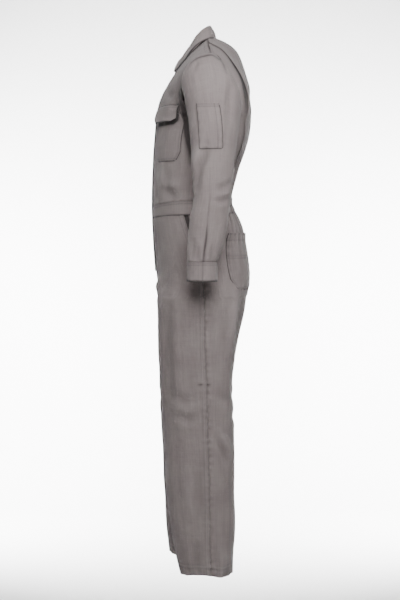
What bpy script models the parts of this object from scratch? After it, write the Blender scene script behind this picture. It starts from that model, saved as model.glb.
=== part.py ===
"""A twill boiler suit in its worn form, hollow, with nobody inside it.

Metres, +Z up. The front faces -Y and the wearer's left is +X. The origin lies
between the shoulders, where the wearer carries the suit. Each sewn piece is a
wall of cloth: a grid of points on a surface, given its thickness by Solidify.
"""

import math

import bmesh
import bpy
from mathutils import Vector

CLOTH = 0.0013          # wall of a single layer
COLLAR_CLOTH = 0.0022   # wall of the collar leaf, which is two layers
SEAM_GAP = 0.0009       # gap between two pieces at a seam
ARM_GAP = 0.0016        # gap between the armhole and the sleeve
LAY_ON = 0.0010         # how far a strip laid on the front stands off it

# Waistband: height of its edges at the centre front, the side and the centre back
BAND_TOP = {"front": -0.470, "side": -0.4535, "back": -0.440}
BAND_FOOT = {"front": -0.5025, "side": -0.4935, "back": -0.480}

UNDERARM_Z = -0.222
HEM_Z = -1.511


def table(columns, *rows):
    """Rows of numbers under named columns."""
    names = columns.split()
    return [dict(zip(names, row)) for row in rows]


# Centre front and centre back lines, from the neck to the seat
FRONT_LINE = table(
    "z y",
    (-0.056, -0.0820),
    (-0.082, -0.0990),
    (-0.126, -0.1265),
    (-0.155, -0.1420),
    (-0.185, -0.1515),
    (-0.222, -0.1565),
    (-0.272, -0.1600),
    (-0.331, -0.1635),
    (-0.390, -0.1670),
    (-0.448, -0.1690),
    (-0.505, -0.1675),
    (-0.565, -0.1650),
    (-0.625, -0.1605),
    (-0.665, -0.1570),
)
BACK_LINE = table(
    "z y",
    (0.018, 0.008),
    (0.012, 0.034),
    (0.005, 0.053),
    (-0.009, 0.070),
    (-0.024, 0.081),
    (-0.053, 0.093),
    (-0.085, 0.103),
    (-0.126, 0.112),
    (-0.175, 0.117),
    (-0.222, 0.1180),
    (-0.272, 0.1110),
    (-0.315, 0.0965),
    (-0.360, 0.0790),
    (-0.419, 0.0665),
    (-0.455, 0.0615),
    (-0.480, 0.0695),
    (-0.507, 0.0820),
    (-0.536, 0.0945),
    (-0.580, 0.1025),
    (-0.625, 0.1095),
    (-0.665, 0.1114),
)
SIDE_LINE = table(
    "z x y",
    (-0.222, 0.199, -0.012),
    (-0.260, 0.203, -0.020),
    (-0.320, 0.203, -0.032),
    (-0.390, 0.198, -0.042),
    (-0.455, 0.195, -0.046),
    (-0.495, 0.198, -0.045),
    (-0.535, 0.206, -0.041),
    (-0.580, 0.213, -0.036),
    (-0.625, 0.218, -0.029),
    (-0.665, 0.220, -0.022),
)

# Neck seam, from the centre front to the centre back, left side
NECK = table(
    "x y z",
    (0.0000, -0.0820, -0.056),
    (0.0300, -0.0782, -0.052),
    (0.0580, -0.0625, -0.036),
    (0.0770, -0.0390, -0.010),
    (0.0790, -0.020, 0.007),
    (0.0700, -0.004, 0.0165),
    (0.0400, 0.0055, 0.0185),
    (0.0000, 0.0080, 0.0180),
)
SHOULDER_NECK = 0.645   # share of the neck seam at which the shoulder seam meets it

# Armhole, from the underarm to the crown of the shoulder
ARMHOLE = table(
    "z x front_y back_y",
    (-0.222, 0.199, -0.012, -0.012),
    (-0.208, 0.193, -0.050, 0.034),
    (-0.180, 0.187, -0.073, 0.056),
    (-0.145, 0.184, -0.081, 0.058),
    (-0.112, 0.186, -0.075, 0.049),
    (-0.083, 0.190, -0.060, 0.038),
    (-0.058, 0.196, -0.034, 0.022),
    (-0.048, 0.200, 0.002, 0.002),
)

# Which place on the centre line or neck faces which place on the armhole, and how far
# the cloth between them bends
FRONT_PAIRS = table(
    "arm centre turn",
    (0.00, 0.00, 90),
    (0.20, 0.13, 82),
    (0.42, 0.27, 68),
    (0.60, 0.39, 55),
    (0.78, 0.54, 40),
    (0.89, 0.72, 26),
    (0.96, 0.88, 16),
    (1.00, 1.00, 12),
)
BACK_PAIRS = table(
    "arm centre turn",
    (0.00, 0.00, 90),
    (0.20, 0.115, 90),
    (0.42, 0.26, 90),
    (0.60, 0.39, 84),
    (0.76, 0.51, 74),
    (0.88, 0.67, 60),
    (0.95, 0.84, 50),
    (1.00, 1.00, 45),
)

# Action pleat: distance of its fold from the centre back, and how far the fold stands out
PLEAT = table(
    "level x gape",
    (0.00, 0.126, 0.0028),
    (0.35, 0.140, 0.0036),
    (0.70, 0.153, 0.0048),
    (1.00, 0.160, 0.0062),
    (1.40, 0.162, 0.0068),
    (1.70, 0.159, 0.0056),
    (1.91, 0.144, 0.0040),
    (2.00, 0.122, 0.0030),
)
PLEAT_RAMP = 0.050     # the centre back starts to lift off the body this far from the fold
PLEAT_STEP = 0.028     # the side back runs this far in under the fold
PLEAT_OVER = 0.0027    # how far the centre back stands off where it starts to cover the side back

SLEEVE_SIDES = 16    # points round a sleeve ring

# Rings of the sleeve below the armhole: its outer and inner lines and its width
SLEEVE = table(
    "crown_x crown_z under_x under_z front_y back_y",
    (0.2370, -0.0570, 0.2060, -0.2310, -0.0835, 0.0610),
    (0.2660, -0.0780, 0.2075, -0.2420, -0.0815, 0.0725),
    (0.2900, -0.1120, 0.2090, -0.2540, -0.0790, 0.0840),
    (0.3080, -0.1600, 0.2120, -0.2700, -0.0700, 0.0815),
    (0.3160, -0.2170, 0.2145, -0.2930, -0.0615, 0.0765),
    (0.3190, -0.2760, 0.2160, -0.3260, -0.0560, 0.0705),
    (0.3210, -0.3370, 0.2190, -0.3700, -0.0530, 0.0645),
    (0.3225, -0.3980, 0.2240, -0.4180, -0.0500, 0.0605),
    (0.3230, -0.4500, 0.2290, -0.4600, -0.0475, 0.0535),
    (0.3225, -0.4930, 0.2325, -0.4990, -0.0560, 0.0480),
    (0.3215, -0.5400, 0.2355, -0.5440, -0.0606, 0.0415),
    (0.3205, -0.5880, 0.2380, -0.5900, -0.0634, 0.0305),
    (0.3185, -0.6205, 0.2405, -0.6220, -0.0658, 0.0180),
)
CUFF_FOOT = dict(
    crown_x=0.3180, crown_z=-0.6760, under_x=0.2415, under_z=-0.6730,
    front_y=-0.0658, back_y=0.0172)
CUFF_OVERLAP = 0.026    # how far the cuff's outer end lies over its under end
CUFF_ROUND = 0.25       # length of the cuff round the wrist
CUFF_SIDES = 20         # points round the cuff
CUFF_LIFT = 0.0012      # gap between its two ends where they overlap

# Trouser rings below the waistband. The seam that each inner edge lies on is the centre
# seam down to the crotch and the inside leg below it; the forward column is how far
# the right leg is ahead of the left.
TROUSERS = table(
    "front_z side_z back_z in_x front_in_y back_in_y apex_x front_y back_y out_x out_y forward",
    (-0.5025, -0.4935, -0.480, 0.000, -0.1677, 0.0695, 0.000, -0.1677, 0.0695, 0.198, -0.045, 0.000),
    (-0.5400, -0.5350, -0.530, 0.000, -0.1662, 0.0925, 0.000, -0.1662, 0.0925, 0.206, -0.041, 0.000),
    (-0.5800, -0.5780, -0.576, 0.000, -0.1641, 0.1020, 0.000, -0.1641, 0.1020, 0.213, -0.036, 0.000),
    (-0.6250, -0.6250, -0.625, 0.000, -0.1605, 0.1095, 0.000, -0.1605, 0.1095, 0.218, -0.029, 0.000),
    (-0.6620, -0.6640, -0.660, 0.000, -0.1560, 0.1114, 0.012, -0.1570, 0.1116, 0.220, -0.022, 0.000),
    (-0.6960, -0.6950, -0.689, 0.000, -0.1450, 0.1030, 0.055, -0.1545, 0.1095, 0.221, -0.018, 0.000),
    (-0.7170, -0.7160, -0.713, 0.000, -0.1130, 0.0740, 0.092, -0.1528, 0.1060, 0.221, -0.017, 0.001),
    (-0.7280, -0.7340, -0.728, 0.002, -0.0280, -0.0280, 0.112, -0.1515, 0.1005, 0.220, -0.016, 0.001),
    (-0.7700, -0.7700, -0.770, 0.009, -0.0280, -0.0280, 0.114, -0.1518, 0.0955, 0.218, -0.015, 0.002),
    (-0.8300, -0.8300, -0.830, 0.014, -0.0270, -0.0270, 0.114, -0.1512, 0.0836, 0.213, -0.014, 0.004),
    (-0.8900, -0.8900, -0.890, 0.019, -0.0260, -0.0260, 0.114, -0.1498, 0.0723, 0.209, -0.013, 0.006),
    (-0.9600, -0.9600, -0.960, 0.025, -0.0260, -0.0260, 0.115, -0.1453, 0.0627, 0.204, -0.010, 0.009),
    (-1.0300, -1.0300, -1.030, 0.029, -0.0260, -0.0260, 0.116, -0.1398, 0.0642, 0.203, -0.008, 0.010),
    (-1.1100, -1.1100, -1.110, 0.033, -0.0240, -0.0240, 0.117, -0.1343, 0.0679, 0.201, -0.006, 0.011),
    (-1.2000, -1.2000, -1.200, 0.037, -0.0220, -0.0220, 0.118, -0.1298, 0.0693, 0.199, -0.003, 0.012),
    (-1.2900, -1.2900, -1.290, 0.041, -0.0200, -0.0200, 0.119, -0.1246, 0.0691, 0.197, -0.001, 0.015),
    (-1.3800, -1.3800, -1.380, 0.046, -0.0180, -0.0180, 0.120, -0.1153, 0.0706, 0.194, 0.000, 0.018),
    (-1.4500, -1.4500, -1.450, 0.050, -0.0160, -0.0160, 0.121, -0.1038, 0.0680, 0.192, 0.001, 0.026),
    (HEM_Z, HEM_Z, HEM_Z, 0.054, -0.0120, -0.0120, 0.122, -0.0863, 0.0645, 0.189, 0.004, 0.036),
)
MOUTH_FOOT_Z = -0.655      # foot of the slanted side pocket mouth, on the side seam
MOUTH_TOP_SHARE = 0.83     # its top end, as a share of the way round the front waist
FACING_LEVELS = (0, 1, 2, 3)   # rows of the trouser table that the mouth's facing spans
FACING_UNDER = 0.07        # share of the way round by which the facing runs in under the front
FACING_DEEP = 0.0034       # how far below the front's cloth its hidden edge lies
FACING_SHALLOW = 0.0008    # how far below the surface its edge at the side seam lies

# Collar stations from the centre front to the centre back: the leaf's fold and its edge
COLLAR = table(
    "neck fold_x fold_y fold_z edge_x edge_y edge_z",
    (0.00, 0.003, -0.0775, -0.0365, 0.0110, -0.0950, -0.0555),
    (0.08, 0.018, -0.0755, -0.0345, 0.0460, -0.0990, -0.0765),
    (0.20, 0.040, -0.0685, -0.0255, 0.0700, -0.0840, -0.0625),
    (0.34, 0.060, -0.0550, -0.0085, 0.0900, -0.0645, -0.0425),
    (0.47, 0.071, -0.0420, 0.0105, 0.1010, -0.0450, -0.0170),
    (0.58, 0.071, -0.0270, 0.0265, 0.0985, -0.0250, 0.0000),
    (0.70, 0.060, -0.0120, 0.0390, 0.0830, -0.0050, 0.0125),
    (0.84, 0.035, -0.0035, 0.0455, 0.0460, 0.0095, 0.0200),
    (1.00, 0.000, -0.0015, 0.0470, 0.0000, 0.0115, 0.0215),
)
STAND_SHARE = 0.86    # the stand's height as a share of the way from the neck to the fold
NECK_CENTRE_BACK = 0.04   # how far the middle of the neck lies in front of the origin

# Patch outlines. Front and back patches are given by height and distance from the centre,
# the sleeve pocket by height and depth; lift is the gap under the cloth.
CHEST_POCKET = table(
    "z inner outer lift",
    (-0.1920, 0.066, 0.174, 0.0020),
    (-0.2120, 0.066, 0.176, 0.0022),
    (-0.2350, 0.067, 0.178, 0.0026),
    (-0.2750, 0.068, 0.181, 0.0030),
    (-0.3180, 0.069, 0.183, 0.0022),
    (-0.3430, 0.082, 0.171, 0.0010),
)
CHEST_FLAP = table(
    "z inner outer lift",
    (-0.1840, 0.062, 0.175, 0.0048),
    (-0.2030, 0.062, 0.173, 0.0092),
    (-0.2185, 0.063, 0.167, 0.0132),
    (-0.2345, 0.078, 0.154, 0.0158),
)
SLEEVE_POCKET = table(
    "z inner outer lift",
    (-0.1945, 0.0229, -0.0393, 0.0012),
    (-0.2350, 0.0290, -0.0345, 0.0020),
    (-0.2760, 0.0320, -0.0320, 0.0020),
    (-0.3175, 0.0329, -0.0301, 0.0010),
)
# The back pocket's edges are shares of the way round the seat, from centre to side seam
BACK_POCKET = table(
    "z inner outer lift",
    (-0.5450, 0.22, 0.70, 0.0040),
    (-0.5900, 0.21, 0.745, 0.0028),
    (-0.6350, 0.21, 0.755, 0.0022),
    (-0.6720, 0.21, 0.745, 0.0018),
    (-0.7030, 0.31, 0.66, 0.0014),
)

# Placket: the strip down the centre front
PLACKET_HALF = 0.030
PLACKET_TOP_HALF = 0.018     # half its width at its very top, inside the collar points
PLACKET_CROWN = 0.0008       # how much its middle stands out past its edges
PLACKET_TOP_Z = -0.066
PLACKET_FOOT_Z = -0.655


def clear_scene():
    """Leave an empty scene."""
    for item in list(bpy.data.objects):
        bpy.data.objects.remove(item)
    for group in list(bpy.data.collections):
        bpy.data.collections.remove(group)


def mix(a, b, share):
    """The value a share of the way from a to b."""
    return a + (b - a) * share


def slopes(xs, ys):
    """Slopes at each row that keep a curve through the rows from overshooting."""
    steps = [(ys[i + 1] - ys[i]) / (xs[i + 1] - xs[i]) for i in range(len(xs) - 1)]
    inner = []
    for before, after in zip(steps, steps[1:]):
        same_way = before * after > 0
        inner.append(2 * before * after / (before + after) if same_way else 0.0)
    return [steps[0]] + inner + [steps[-1]]


def read(rows, column, at, by="z"):
    """A column's value where the column named by has the value at."""
    ordered = sorted(rows, key=lambda row: row[by])
    xs = [row[by] for row in ordered]
    ys = [row[column] for row in ordered]
    at = min(max(at, xs[0]), xs[-1])
    i = max(k for k in range(len(xs) - 1) if xs[k] <= at)
    wide = xs[i + 1] - xs[i]
    t = (at - xs[i]) / wide
    lean = slopes(xs, ys)
    ends = ys[i] * (1 + 2 * t) * (1 - t) ** 2 + ys[i + 1] * t * t * (3 - 2 * t)
    return ends + wide * (lean[i] * t * (1 - t) ** 2 - lean[i + 1] * t * t * (1 - t))


def curve_through(points, steps=8):
    """A smooth line through the points (Catmull-Rom)."""
    knots = [points[0] * 2 - points[1]] + list(points) + [points[-1] * 2 - points[-2]]
    line = []
    for a, b, c, d in zip(knots, knots[1:], knots[2:], knots[3:]):
        for k in range(steps):
            t = k / steps
            bend = (a * -1 + b * 3 - c * 3 + d) * t ** 3
            curl = (a * 2 - b * 5 + c * 4 - d) * t ** 2
            line.append((bend + curl + (c - a) * t + b * 2) * 0.5)
    line.append(points[-1].copy())
    return line


def lengths(line):
    """Running length at each point of a line."""
    total = [0.0]
    for a, b in zip(line, line[1:]):
        total.append(total[-1] + (b - a).length)
    return total


def spot(line, share):
    """The point a share of the way along a line, past its ends too."""
    total = lengths(line)
    want = share * total[-1]
    i = 0
    while i < len(line) - 2 and (total[i + 1] < want or total[i + 1] == total[i]):
        i += 1
    span = total[i + 1] - total[i]
    return line[i].lerp(line[i + 1], (want - total[i]) / span)


def bow(start, end, turn, square, steps=40):
    """A line that leaves start straight across the body and bends through turn degrees."""
    full = math.radians(turn)
    reach = math.sin(full) ** square
    drop = 1 - max(math.cos(full), 0.0) ** square
    line = []
    for k in range(steps + 1):
        angle = full * k / steps
        across = math.sin(angle) ** square / reach
        down = (1 - max(math.cos(angle), 0.0) ** square) / drop
        line.append(Vector((
            mix(start.x, end.x, across),
            mix(start.y, end.y, down),
            mix(start.z, end.z, across))))
    return line


# Lines that several pieces share

NECK_LINE = curve_through([Vector((row["x"], row["y"], row["z"])) for row in NECK])


def neck_part(first, last, count=24):
    """The stretch of the neck seam between two shares of its length."""
    return [spot(NECK_LINE, mix(first, last, k / count)) for k in range(count + 1)]


def centre_line(rows, low, high, count=30):
    """The centre front or centre back line between two heights."""
    heights = [mix(low, high, k / count) for k in range(count + 1)]
    return [Vector((0, read(rows, "y", z), z)) for z in heights]


FRONT_EDGE = centre_line(FRONT_LINE, UNDERARM_Z, NECK[0]["z"])
FRONT_EDGE = FRONT_EDGE + neck_part(0, SHOULDER_NECK)[1:]
BACK_EDGE = centre_line(BACK_LINE, UNDERARM_Z, NECK[-1]["z"])
ARM_FRONT = curve_through([Vector((row["x"], row["front_y"], row["z"])) for row in ARMHOLE])
ARM_BACK = curve_through([Vector((row["x"], row["back_y"], row["z"])) for row in ARMHOLE])
BACK_TOP = neck_part(1, SHOULDER_NECK) + [ARM_BACK[-1]]


# Surfaces. Each takes a level and a share of the way round from the centre.

FRONT_SQUARE = 1.10
BACK_SQUARE = 0.62
TOP_BLEND = 1.5     # level above which the back's rows take the shape of its top edge


def bodice(level, share, face):
    """Front or back above the waistband: level 0 is the waist, 1 the underarm, 2 the shoulder."""
    front = face == "front"
    rows = FRONT_LINE if front else BACK_LINE
    square = FRONT_SQUARE if front else BACK_SQUARE
    if level <= 1:
        centre_z = mix(BAND_TOP[face], UNDERARM_Z, level)
        side_z = mix(BAND_TOP["side"], UNDERARM_Z, level)
        start = Vector((0, read(rows, "y", centre_z), centre_z))
        end = Vector((read(SIDE_LINE, "x", side_z), read(SIDE_LINE, "y", side_z), side_z))
        return spot(bow(start, end, 90, square), share)
    pairs = FRONT_PAIRS if front else BACK_PAIRS
    edge = FRONT_EDGE if front else BACK_EDGE
    arm = ARM_FRONT if front else ARM_BACK
    start = spot(edge, read(pairs, "centre", level - 1, by="arm"))
    end = spot(arm, level - 1)
    turn = read(pairs, "turn", level - 1, by="arm")
    if front:
        return spot(bow(start, end, turn, mix(square, 1, min(1, 2 * level - 2))), share)
    top = max(0, (level - TOP_BLEND) / (2 - TOP_BLEND)) ** 2
    hump = spot(BACK_TOP, share) - BACK_TOP[0].lerp(BACK_TOP[-1], share)
    return spot(bow(start, end, turn, square), share).lerp(start.lerp(end, share) + hump, top)


def waistband(level, share, face):
    """The band between bodice and trousers: level 0 is its foot and 1 its top."""
    rows = FRONT_LINE if face == "front" else BACK_LINE
    square = FRONT_SQUARE if face == "front" else BACK_SQUARE
    centre_z = mix(BAND_FOOT[face], BAND_TOP[face], level)
    side_z = mix(BAND_FOOT["side"], BAND_TOP["side"], level)
    start = Vector((0, read(rows, "y", centre_z), centre_z))
    end = Vector((read(SIDE_LINE, "x", side_z), read(SIDE_LINE, "y", side_z), side_z))
    return spot(bow(start, end, 90, square), share)


LEG_SQUARE = {"front": (0.90, 1.00), "back": (0.90, 0.80)}


def trouser_row(level):
    """The trouser table's values at a level counted in rows from the waistband."""
    below = min(int(level), len(TROUSERS) - 2)
    step = level - below
    above, under = TROUSERS[below], TROUSERS[below + 1]
    return {name: mix(above[name], under[name], step) for name in above}


def trousers(level, share, face, side=1):
    """A trouser leg: level counts the table's rows, share runs from inner to outer seam."""
    row = trouser_row(level)
    depth = row[face + "_y"]
    inner = Vector((row["in_x"], row[face + "_in_y"], row[face + "_z"]))
    outer = Vector((row["out_x"], row["out_y"], row["side_z"]))
    apex = Vector((row["apex_x"], depth, mix(inner.z, outer.z, 0.3 * min(1, row["apex_x"] / 0.1))))
    in_square, out_square = LEG_SQUARE[face]
    trunk = FRONT_SQUARE if face == "front" else BACK_SQUARE
    out_square = mix(trunk, out_square, min(1, max(0, (level - 3) / 4)))
    line = bow(apex, outer, 90, out_square)
    if (inner - apex).length > 0.001:
        line = bow(apex, inner, 90, in_square)[:0:-1] + line
    else:
        line[0] = inner
    point = spot(line, share)
    if side < 0:
        point.y -= row["forward"]
    return point


def sleeve_rows():
    """Rings of the left sleeve from the armhole down, each from the crown round by the back."""
    half = SLEEVE_SIDES // 2
    around = [spot(ARM_BACK, 1 - k / half) for k in range(half)]
    around += [spot(ARM_FRONT, k / half) for k in range(half)]
    lead = []
    for k in range(half):
        lead.append(arm_lead(1 - k / half, "back"))
    for k in range(half):
        lead.append(arm_lead(k / half, "front"))
    rings = [[p + d * ARM_GAP for p, d in zip(around, lead)]]
    rings.append([p + d * 0.007 for p, d in zip(around, lead)])
    for row in SLEEVE:
        rings.append(sleeve_ring(row))
    return rings


def arm_lead(level, face):
    """The way the body's cloth runs where it meets the armhole."""
    level = min(max(level, 0.03), 0.97)
    near = bodice(1 + level, 0.90, face)
    edge = bodice(1 + level, 1.0, face)
    way = (edge - near).normalized()
    outward = Vector((0.9, 0, 0.25 * (2 * level - 1)))
    return (way + outward).normalized()


def sleeve_ring(row, sides=None, shift=0.0):
    """One ring of a sleeve or cuff from its table row."""
    sides = sides or SLEEVE_SIDES
    crown = Vector((row["crown_x"], 0, row["crown_z"]))
    under = Vector((row["under_x"], 0, row["under_z"]))
    middle_y = (row["front_y"] + row["back_y"]) / 2
    half_y = (row["back_y"] - row["front_y"]) / 2
    ring = []
    for k in range(sides):
        angle = 2 * math.pi * (k + shift) / sides
        along = crown.lerp(under, (1 - math.cos(angle)) / 2)
        ring.append(Vector((along.x, middle_y + half_y * math.sin(angle), along.z)))
    return ring


def place(surface, wanted, axes, guess):
    """Level and share of the point of a surface whose two named coordinates are wanted."""
    level, share = guess
    step = 0.002
    for _ in range(30):
        here = surface(level, share)
        miss = [wanted[i] - here[axes[i]] for i in range(2)]
        if abs(miss[0]) + abs(miss[1]) < 1e-6:
            break
        up = surface(level + step, share)
        on = surface(level, share + step)
        a, c = [(up[axes[i]] - here[axes[i]]) / step for i in range(2)]
        b, d = [(on[axes[i]] - here[axes[i]]) / step for i in range(2)]
        solid = a * d - b * c
        level += max(-0.3, min(0.3, (miss[0] * d - miss[1] * b) / solid))
        share += max(-0.2, min(0.2, (miss[1] * a - miss[0] * c) / solid))
    return level, share


def outward(surface, level, share, from_inside):
    """The surface's normal at a place, on the side away from the point inside."""
    step = 0.01
    rise = surface(level + step, share) - surface(level - step, share)
    run = surface(level, share + step) - surface(level, share - step)
    normal = rise.cross(run).normalized()
    point = surface(level, share)
    return normal if normal.dot(point - from_inside) > 0 else -normal


# Making objects

SUIT = "boiler_suit"


def make_material(name, colour, roughness=0.9):
    """A plain Principled material."""
    material = bpy.data.materials.new(name)
    material.use_nodes = True
    shader = material.node_tree.nodes["Principled BSDF"]
    shader.inputs["Base Color"].default_value = (*colour, 1)
    shader.inputs["Roughness"].default_value = roughness
    shader.inputs["Metallic"].default_value = 0
    return material


def trim(rows, sides, amount=SEAM_GAP / 2):
    """Draw the named edges of a grid in by half the gap of a seam."""
    rows = [[point.copy() for point in row] for row in rows]
    if "first" in sides:
        for a, b in zip(rows[0], rows[1]):
            a += (b - a).normalized() * amount
    if "last" in sides:
        for a, b in zip(rows[-1], rows[-2]):
            a += (b - a).normalized() * amount
    for row in rows:
        if "left" in sides:
            row[0] += (row[1] - row[0]).normalized() * amount
        if "right" in sides:
            row[-1] += (row[-2] - row[-1]).normalized() * amount
    return rows


def mirrored(rows):
    """The same grid on the wearer's right."""
    return [[Vector((-point.x, point.y, point.z)) for point in row] for row in rows]


def wall(name, rows, material, inside, closed=False, thickness=CLOTH, grow="in"):
    """A wall of cloth on a grid of points; inside is a point that the cloth faces away from."""
    mesh = bmesh.new()
    grid = [[mesh.verts.new(point) for point in row] for row in rows]
    across = len(rows[0])
    for low, high in zip(grid, grid[1:]):
        for k in range(across if closed else across - 1):
            n = (k + 1) % across
            mesh.faces.new((low[k], low[n], high[n], high[k]))
    mesh.faces.ensure_lookup_table()
    mesh.normal_update()
    votes = 0
    for face in mesh.faces:
        centre = face.calc_center_median()
        votes += 1 if face.normal.dot(centre - nearest(inside, centre)) > 0 else -1
    if votes < 0:
        bmesh.ops.reverse_faces(mesh, faces=mesh.faces)
    data = bpy.data.meshes.new(name)
    mesh.to_mesh(data)
    mesh.free()
    data.materials.append(material)
    data.shade_smooth()
    data.set_sharp_from_angle(angle=math.radians(40))
    piece = bpy.data.objects.new(name, data)
    bpy.data.collections[SUIT].objects.link(piece)
    solid = piece.modifiers.new("cloth", "SOLIDIFY")
    solid.thickness = thickness
    solid.offset = -1 if grow == "in" else 1
    solid.use_even_offset = True
    solid.use_quality_normals = True
    return piece


def nearest(inside, point):
    """The inside point at the same height: a fixed point or a line given by a function."""
    return inside(point) if callable(inside) else inside


def trunk_middle(point):
    """The middle of the trunk at a point's height."""
    return Vector((0, -0.03, min(point.z, -0.03)))


def leg_middle(side):
    """The middle of a leg at a point's height."""
    def middle(point):
        return Vector((side * 0.115, -0.03, min(point.z, -0.55)))
    return middle


def sleeve_middle(side):
    """The middle of a sleeve at a point's height."""
    def middle(point):
        height = min(point.z, -0.10)
        return Vector((side * mix(0.245, 0.28, min(1, (-0.1 - height) / 0.3)), -0.005, height))
    return middle


def both_sides(name, rows, material, middle, **settings):
    """The same piece on the left and on the right."""
    for side, label in ((1, "left"), (-1, "right")):
        grid = rows if side > 0 else mirrored(rows)
        inside = middle(side) if middle else trunk_middle
        wall(name + "_" + label, grid, material, inside, **settings)


# Pieces

BODICE_LEVELS = (0, 0.2, 0.4, 0.6, 0.8, 1, 1.14, 1.28, 1.42, 1.56, 1.70, 1.82, 1.91, 2)
SPAN = 8


def make_fronts(twill):
    """Left and right fronts from the waistband to the shoulder."""
    rows = [[bodice(level, k / SPAN, "front") for k in range(SPAN + 1)] for level in BODICE_LEVELS]
    both_sides("front", trim(rows, ("first", "last", "left", "right")), twill, None)


def share_at(level, x):
    """How far round the back a distance from the centre lies."""
    low, high = 0.0, 1.0
    for _ in range(30):
        middle = (low + high) / 2
        if bodice(level, middle, "back").x < x:
            low = middle
        else:
            high = middle
    return (low + high) / 2


def make_back(twill):
    """The centre back with its two pleat folds, and the side backs that run under them."""
    def back(level, share):
        return bodice(level, share, "back")
    centre_rows = []
    side_rows = []
    for level in BODICE_LEVELS:
        fold = read(PLEAT, "x", level, by="level")
        gape = read(PLEAT, "gape", level, by="level")
        ridge = fold - PLEAT_STEP
        flat = fold - PLEAT_RAMP
        stops = ((flat * 0.34, 0), (flat * 0.68, 0), (flat, 0.0004), (ridge, PLEAT_OVER), (fold, gape))
        half = []
        for x, lift in stops:
            share = share_at(level, x)
            away = outward(back, min(level, 1.985), share, trunk_middle(back(level, share)))
            half.append(back(level, share) + away * lift)
        centre_rows.append(reflected(half) + [back(level, 0)] + half)
        first = share_at(level, ridge + 0.0015)
        side_rows.append([back(level, mix(first, 1, k / 5)) for k in range(6)])
    wall("centre_back", trim(centre_rows, ("first", "last")), twill, trunk_middle)
    both_sides("side_back", trim(side_rows, ("first", "last", "right")), twill, None)


def reflected(points):
    """Points of the left half as the right half has them, in order from the right edge."""
    return [Vector((-point.x, point.y, point.z)) for point in reversed(points)]


def make_waistbands(twill):
    """Two front bands and one elastic back band."""
    levels = (0, 0.5, 1)
    front = [[waistband(v, k / SPAN, "front") for k in range(SPAN + 1)] for v in levels]
    both_sides("waistband_front", trim(front, ("first", "last", "left", "right")), twill, None)
    back = []
    for level in levels:
        half = [waistband(level, k / SPAN, "back") for k in range(SPAN + 1)]
        back.append(reflected(half[1:]) + half)
    back = trim(back, ("first", "last", "left", "right"))
    wall("waistband_back", back, twill, trunk_middle)


def mouth(level):
    """Share of the way round the front at which the side pocket mouth lies."""
    top = trouser_row(0)["side_z"]
    along = (trouser_row(level)["side_z"] - top) / (MOUTH_FOOT_Z - top)
    return mix(MOUTH_TOP_SHARE, 1, min(1, along))


TROUSER_LEVELS = tuple(range(len(TROUSERS)))


def make_trousers(twill):
    """Four leg pieces, and the facing behind each slanted pocket mouth."""
    for side, label in ((1, "left"), (-1, "right")):
        def flip(point):
            return Vector((side * point.x, point.y, point.z))
        middle = leg_middle(side)
        front = []
        for level in TROUSER_LEVELS:
            far = mouth(level)
            shares = [mix(0, far, k / SPAN) for k in range(SPAN + 1)]
            front.append([flip(trousers(level, s, "front", side)) for s in shares])
        back = []
        for level in TROUSER_LEVELS:
            shares = [k / SPAN for k in range(SPAN + 1)]
            back.append([flip(trousers(level, s, "back", side)) for s in shares])
        edges = ("first", "left", "right")
        wall("trouser_front_" + label, trim(front, edges), twill, middle)
        wall("trouser_back_" + label, trim(back, edges), twill, middle)
        facing = trim(facing_rows(side), ("first", "right"))
        wall("side_pocket_facing_" + label, facing, twill, middle)


def facing_rows(side):
    """The cloth seen through the pocket mouth: it runs in under the front's slanted edge."""
    def surface(level, share):
        return trousers(level, share, "front", side)
    columns = 3
    rows = []
    for level in FACING_LEVELS:
        row = []
        for k in range(columns + 1):
            share = mix(mouth(level) - FACING_UNDER, 1, k / columns)
            point = surface(level, share)
            away = outward(surface, max(level, 0.02), min(share, 0.985), leg_middle(1)(point))
            depth = mix(CLOTH + FACING_DEEP, FACING_SHALLOW, (k / columns) ** 2)
            row.append(point - away * depth)
        rows.append(row)
    return rows if side > 0 else mirrored(rows)


def make_sleeves(twill):
    """Both sleeves and both cuffs."""
    rows = sleeve_rows()
    both_sides("sleeve", trim(rows, ("last",)), twill, sleeve_middle, closed=True)
    top = SLEEVE[-1]
    overlap = CUFF_OVERLAP / CUFF_ROUND * CUFF_SIDES
    cuff = []
    for level in (0.0, 0.5, 1.0):
        row = {name: mix(top[name], CUFF_FOOT[name], level) for name in top}
        middle = Vector((
            (row["crown_x"] + row["under_x"]) / 2,
            (row["front_y"] + row["back_y"]) / 2,
            (row["crown_z"] + row["under_z"]) / 2))
        line = []
        for k in range(CUFF_SIDES + 3):
            past = max(0, k - CUFF_SIDES) * overlap / 2
            step = min(k, CUFF_SIDES) + past
            point = sleeve_ring(row, sides=CUFF_SIDES, shift=step)[0]
            lift = (CLOTH + CUFF_LIFT) * max(0, min(1, (overlap + 2 - k) / 1.5))
            line.append(point + (point - middle).normalized() * lift)
        cuff.append(line)
    both_sides("cuff", trim(cuff, ("first",)), twill, sleeve_middle)


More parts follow.
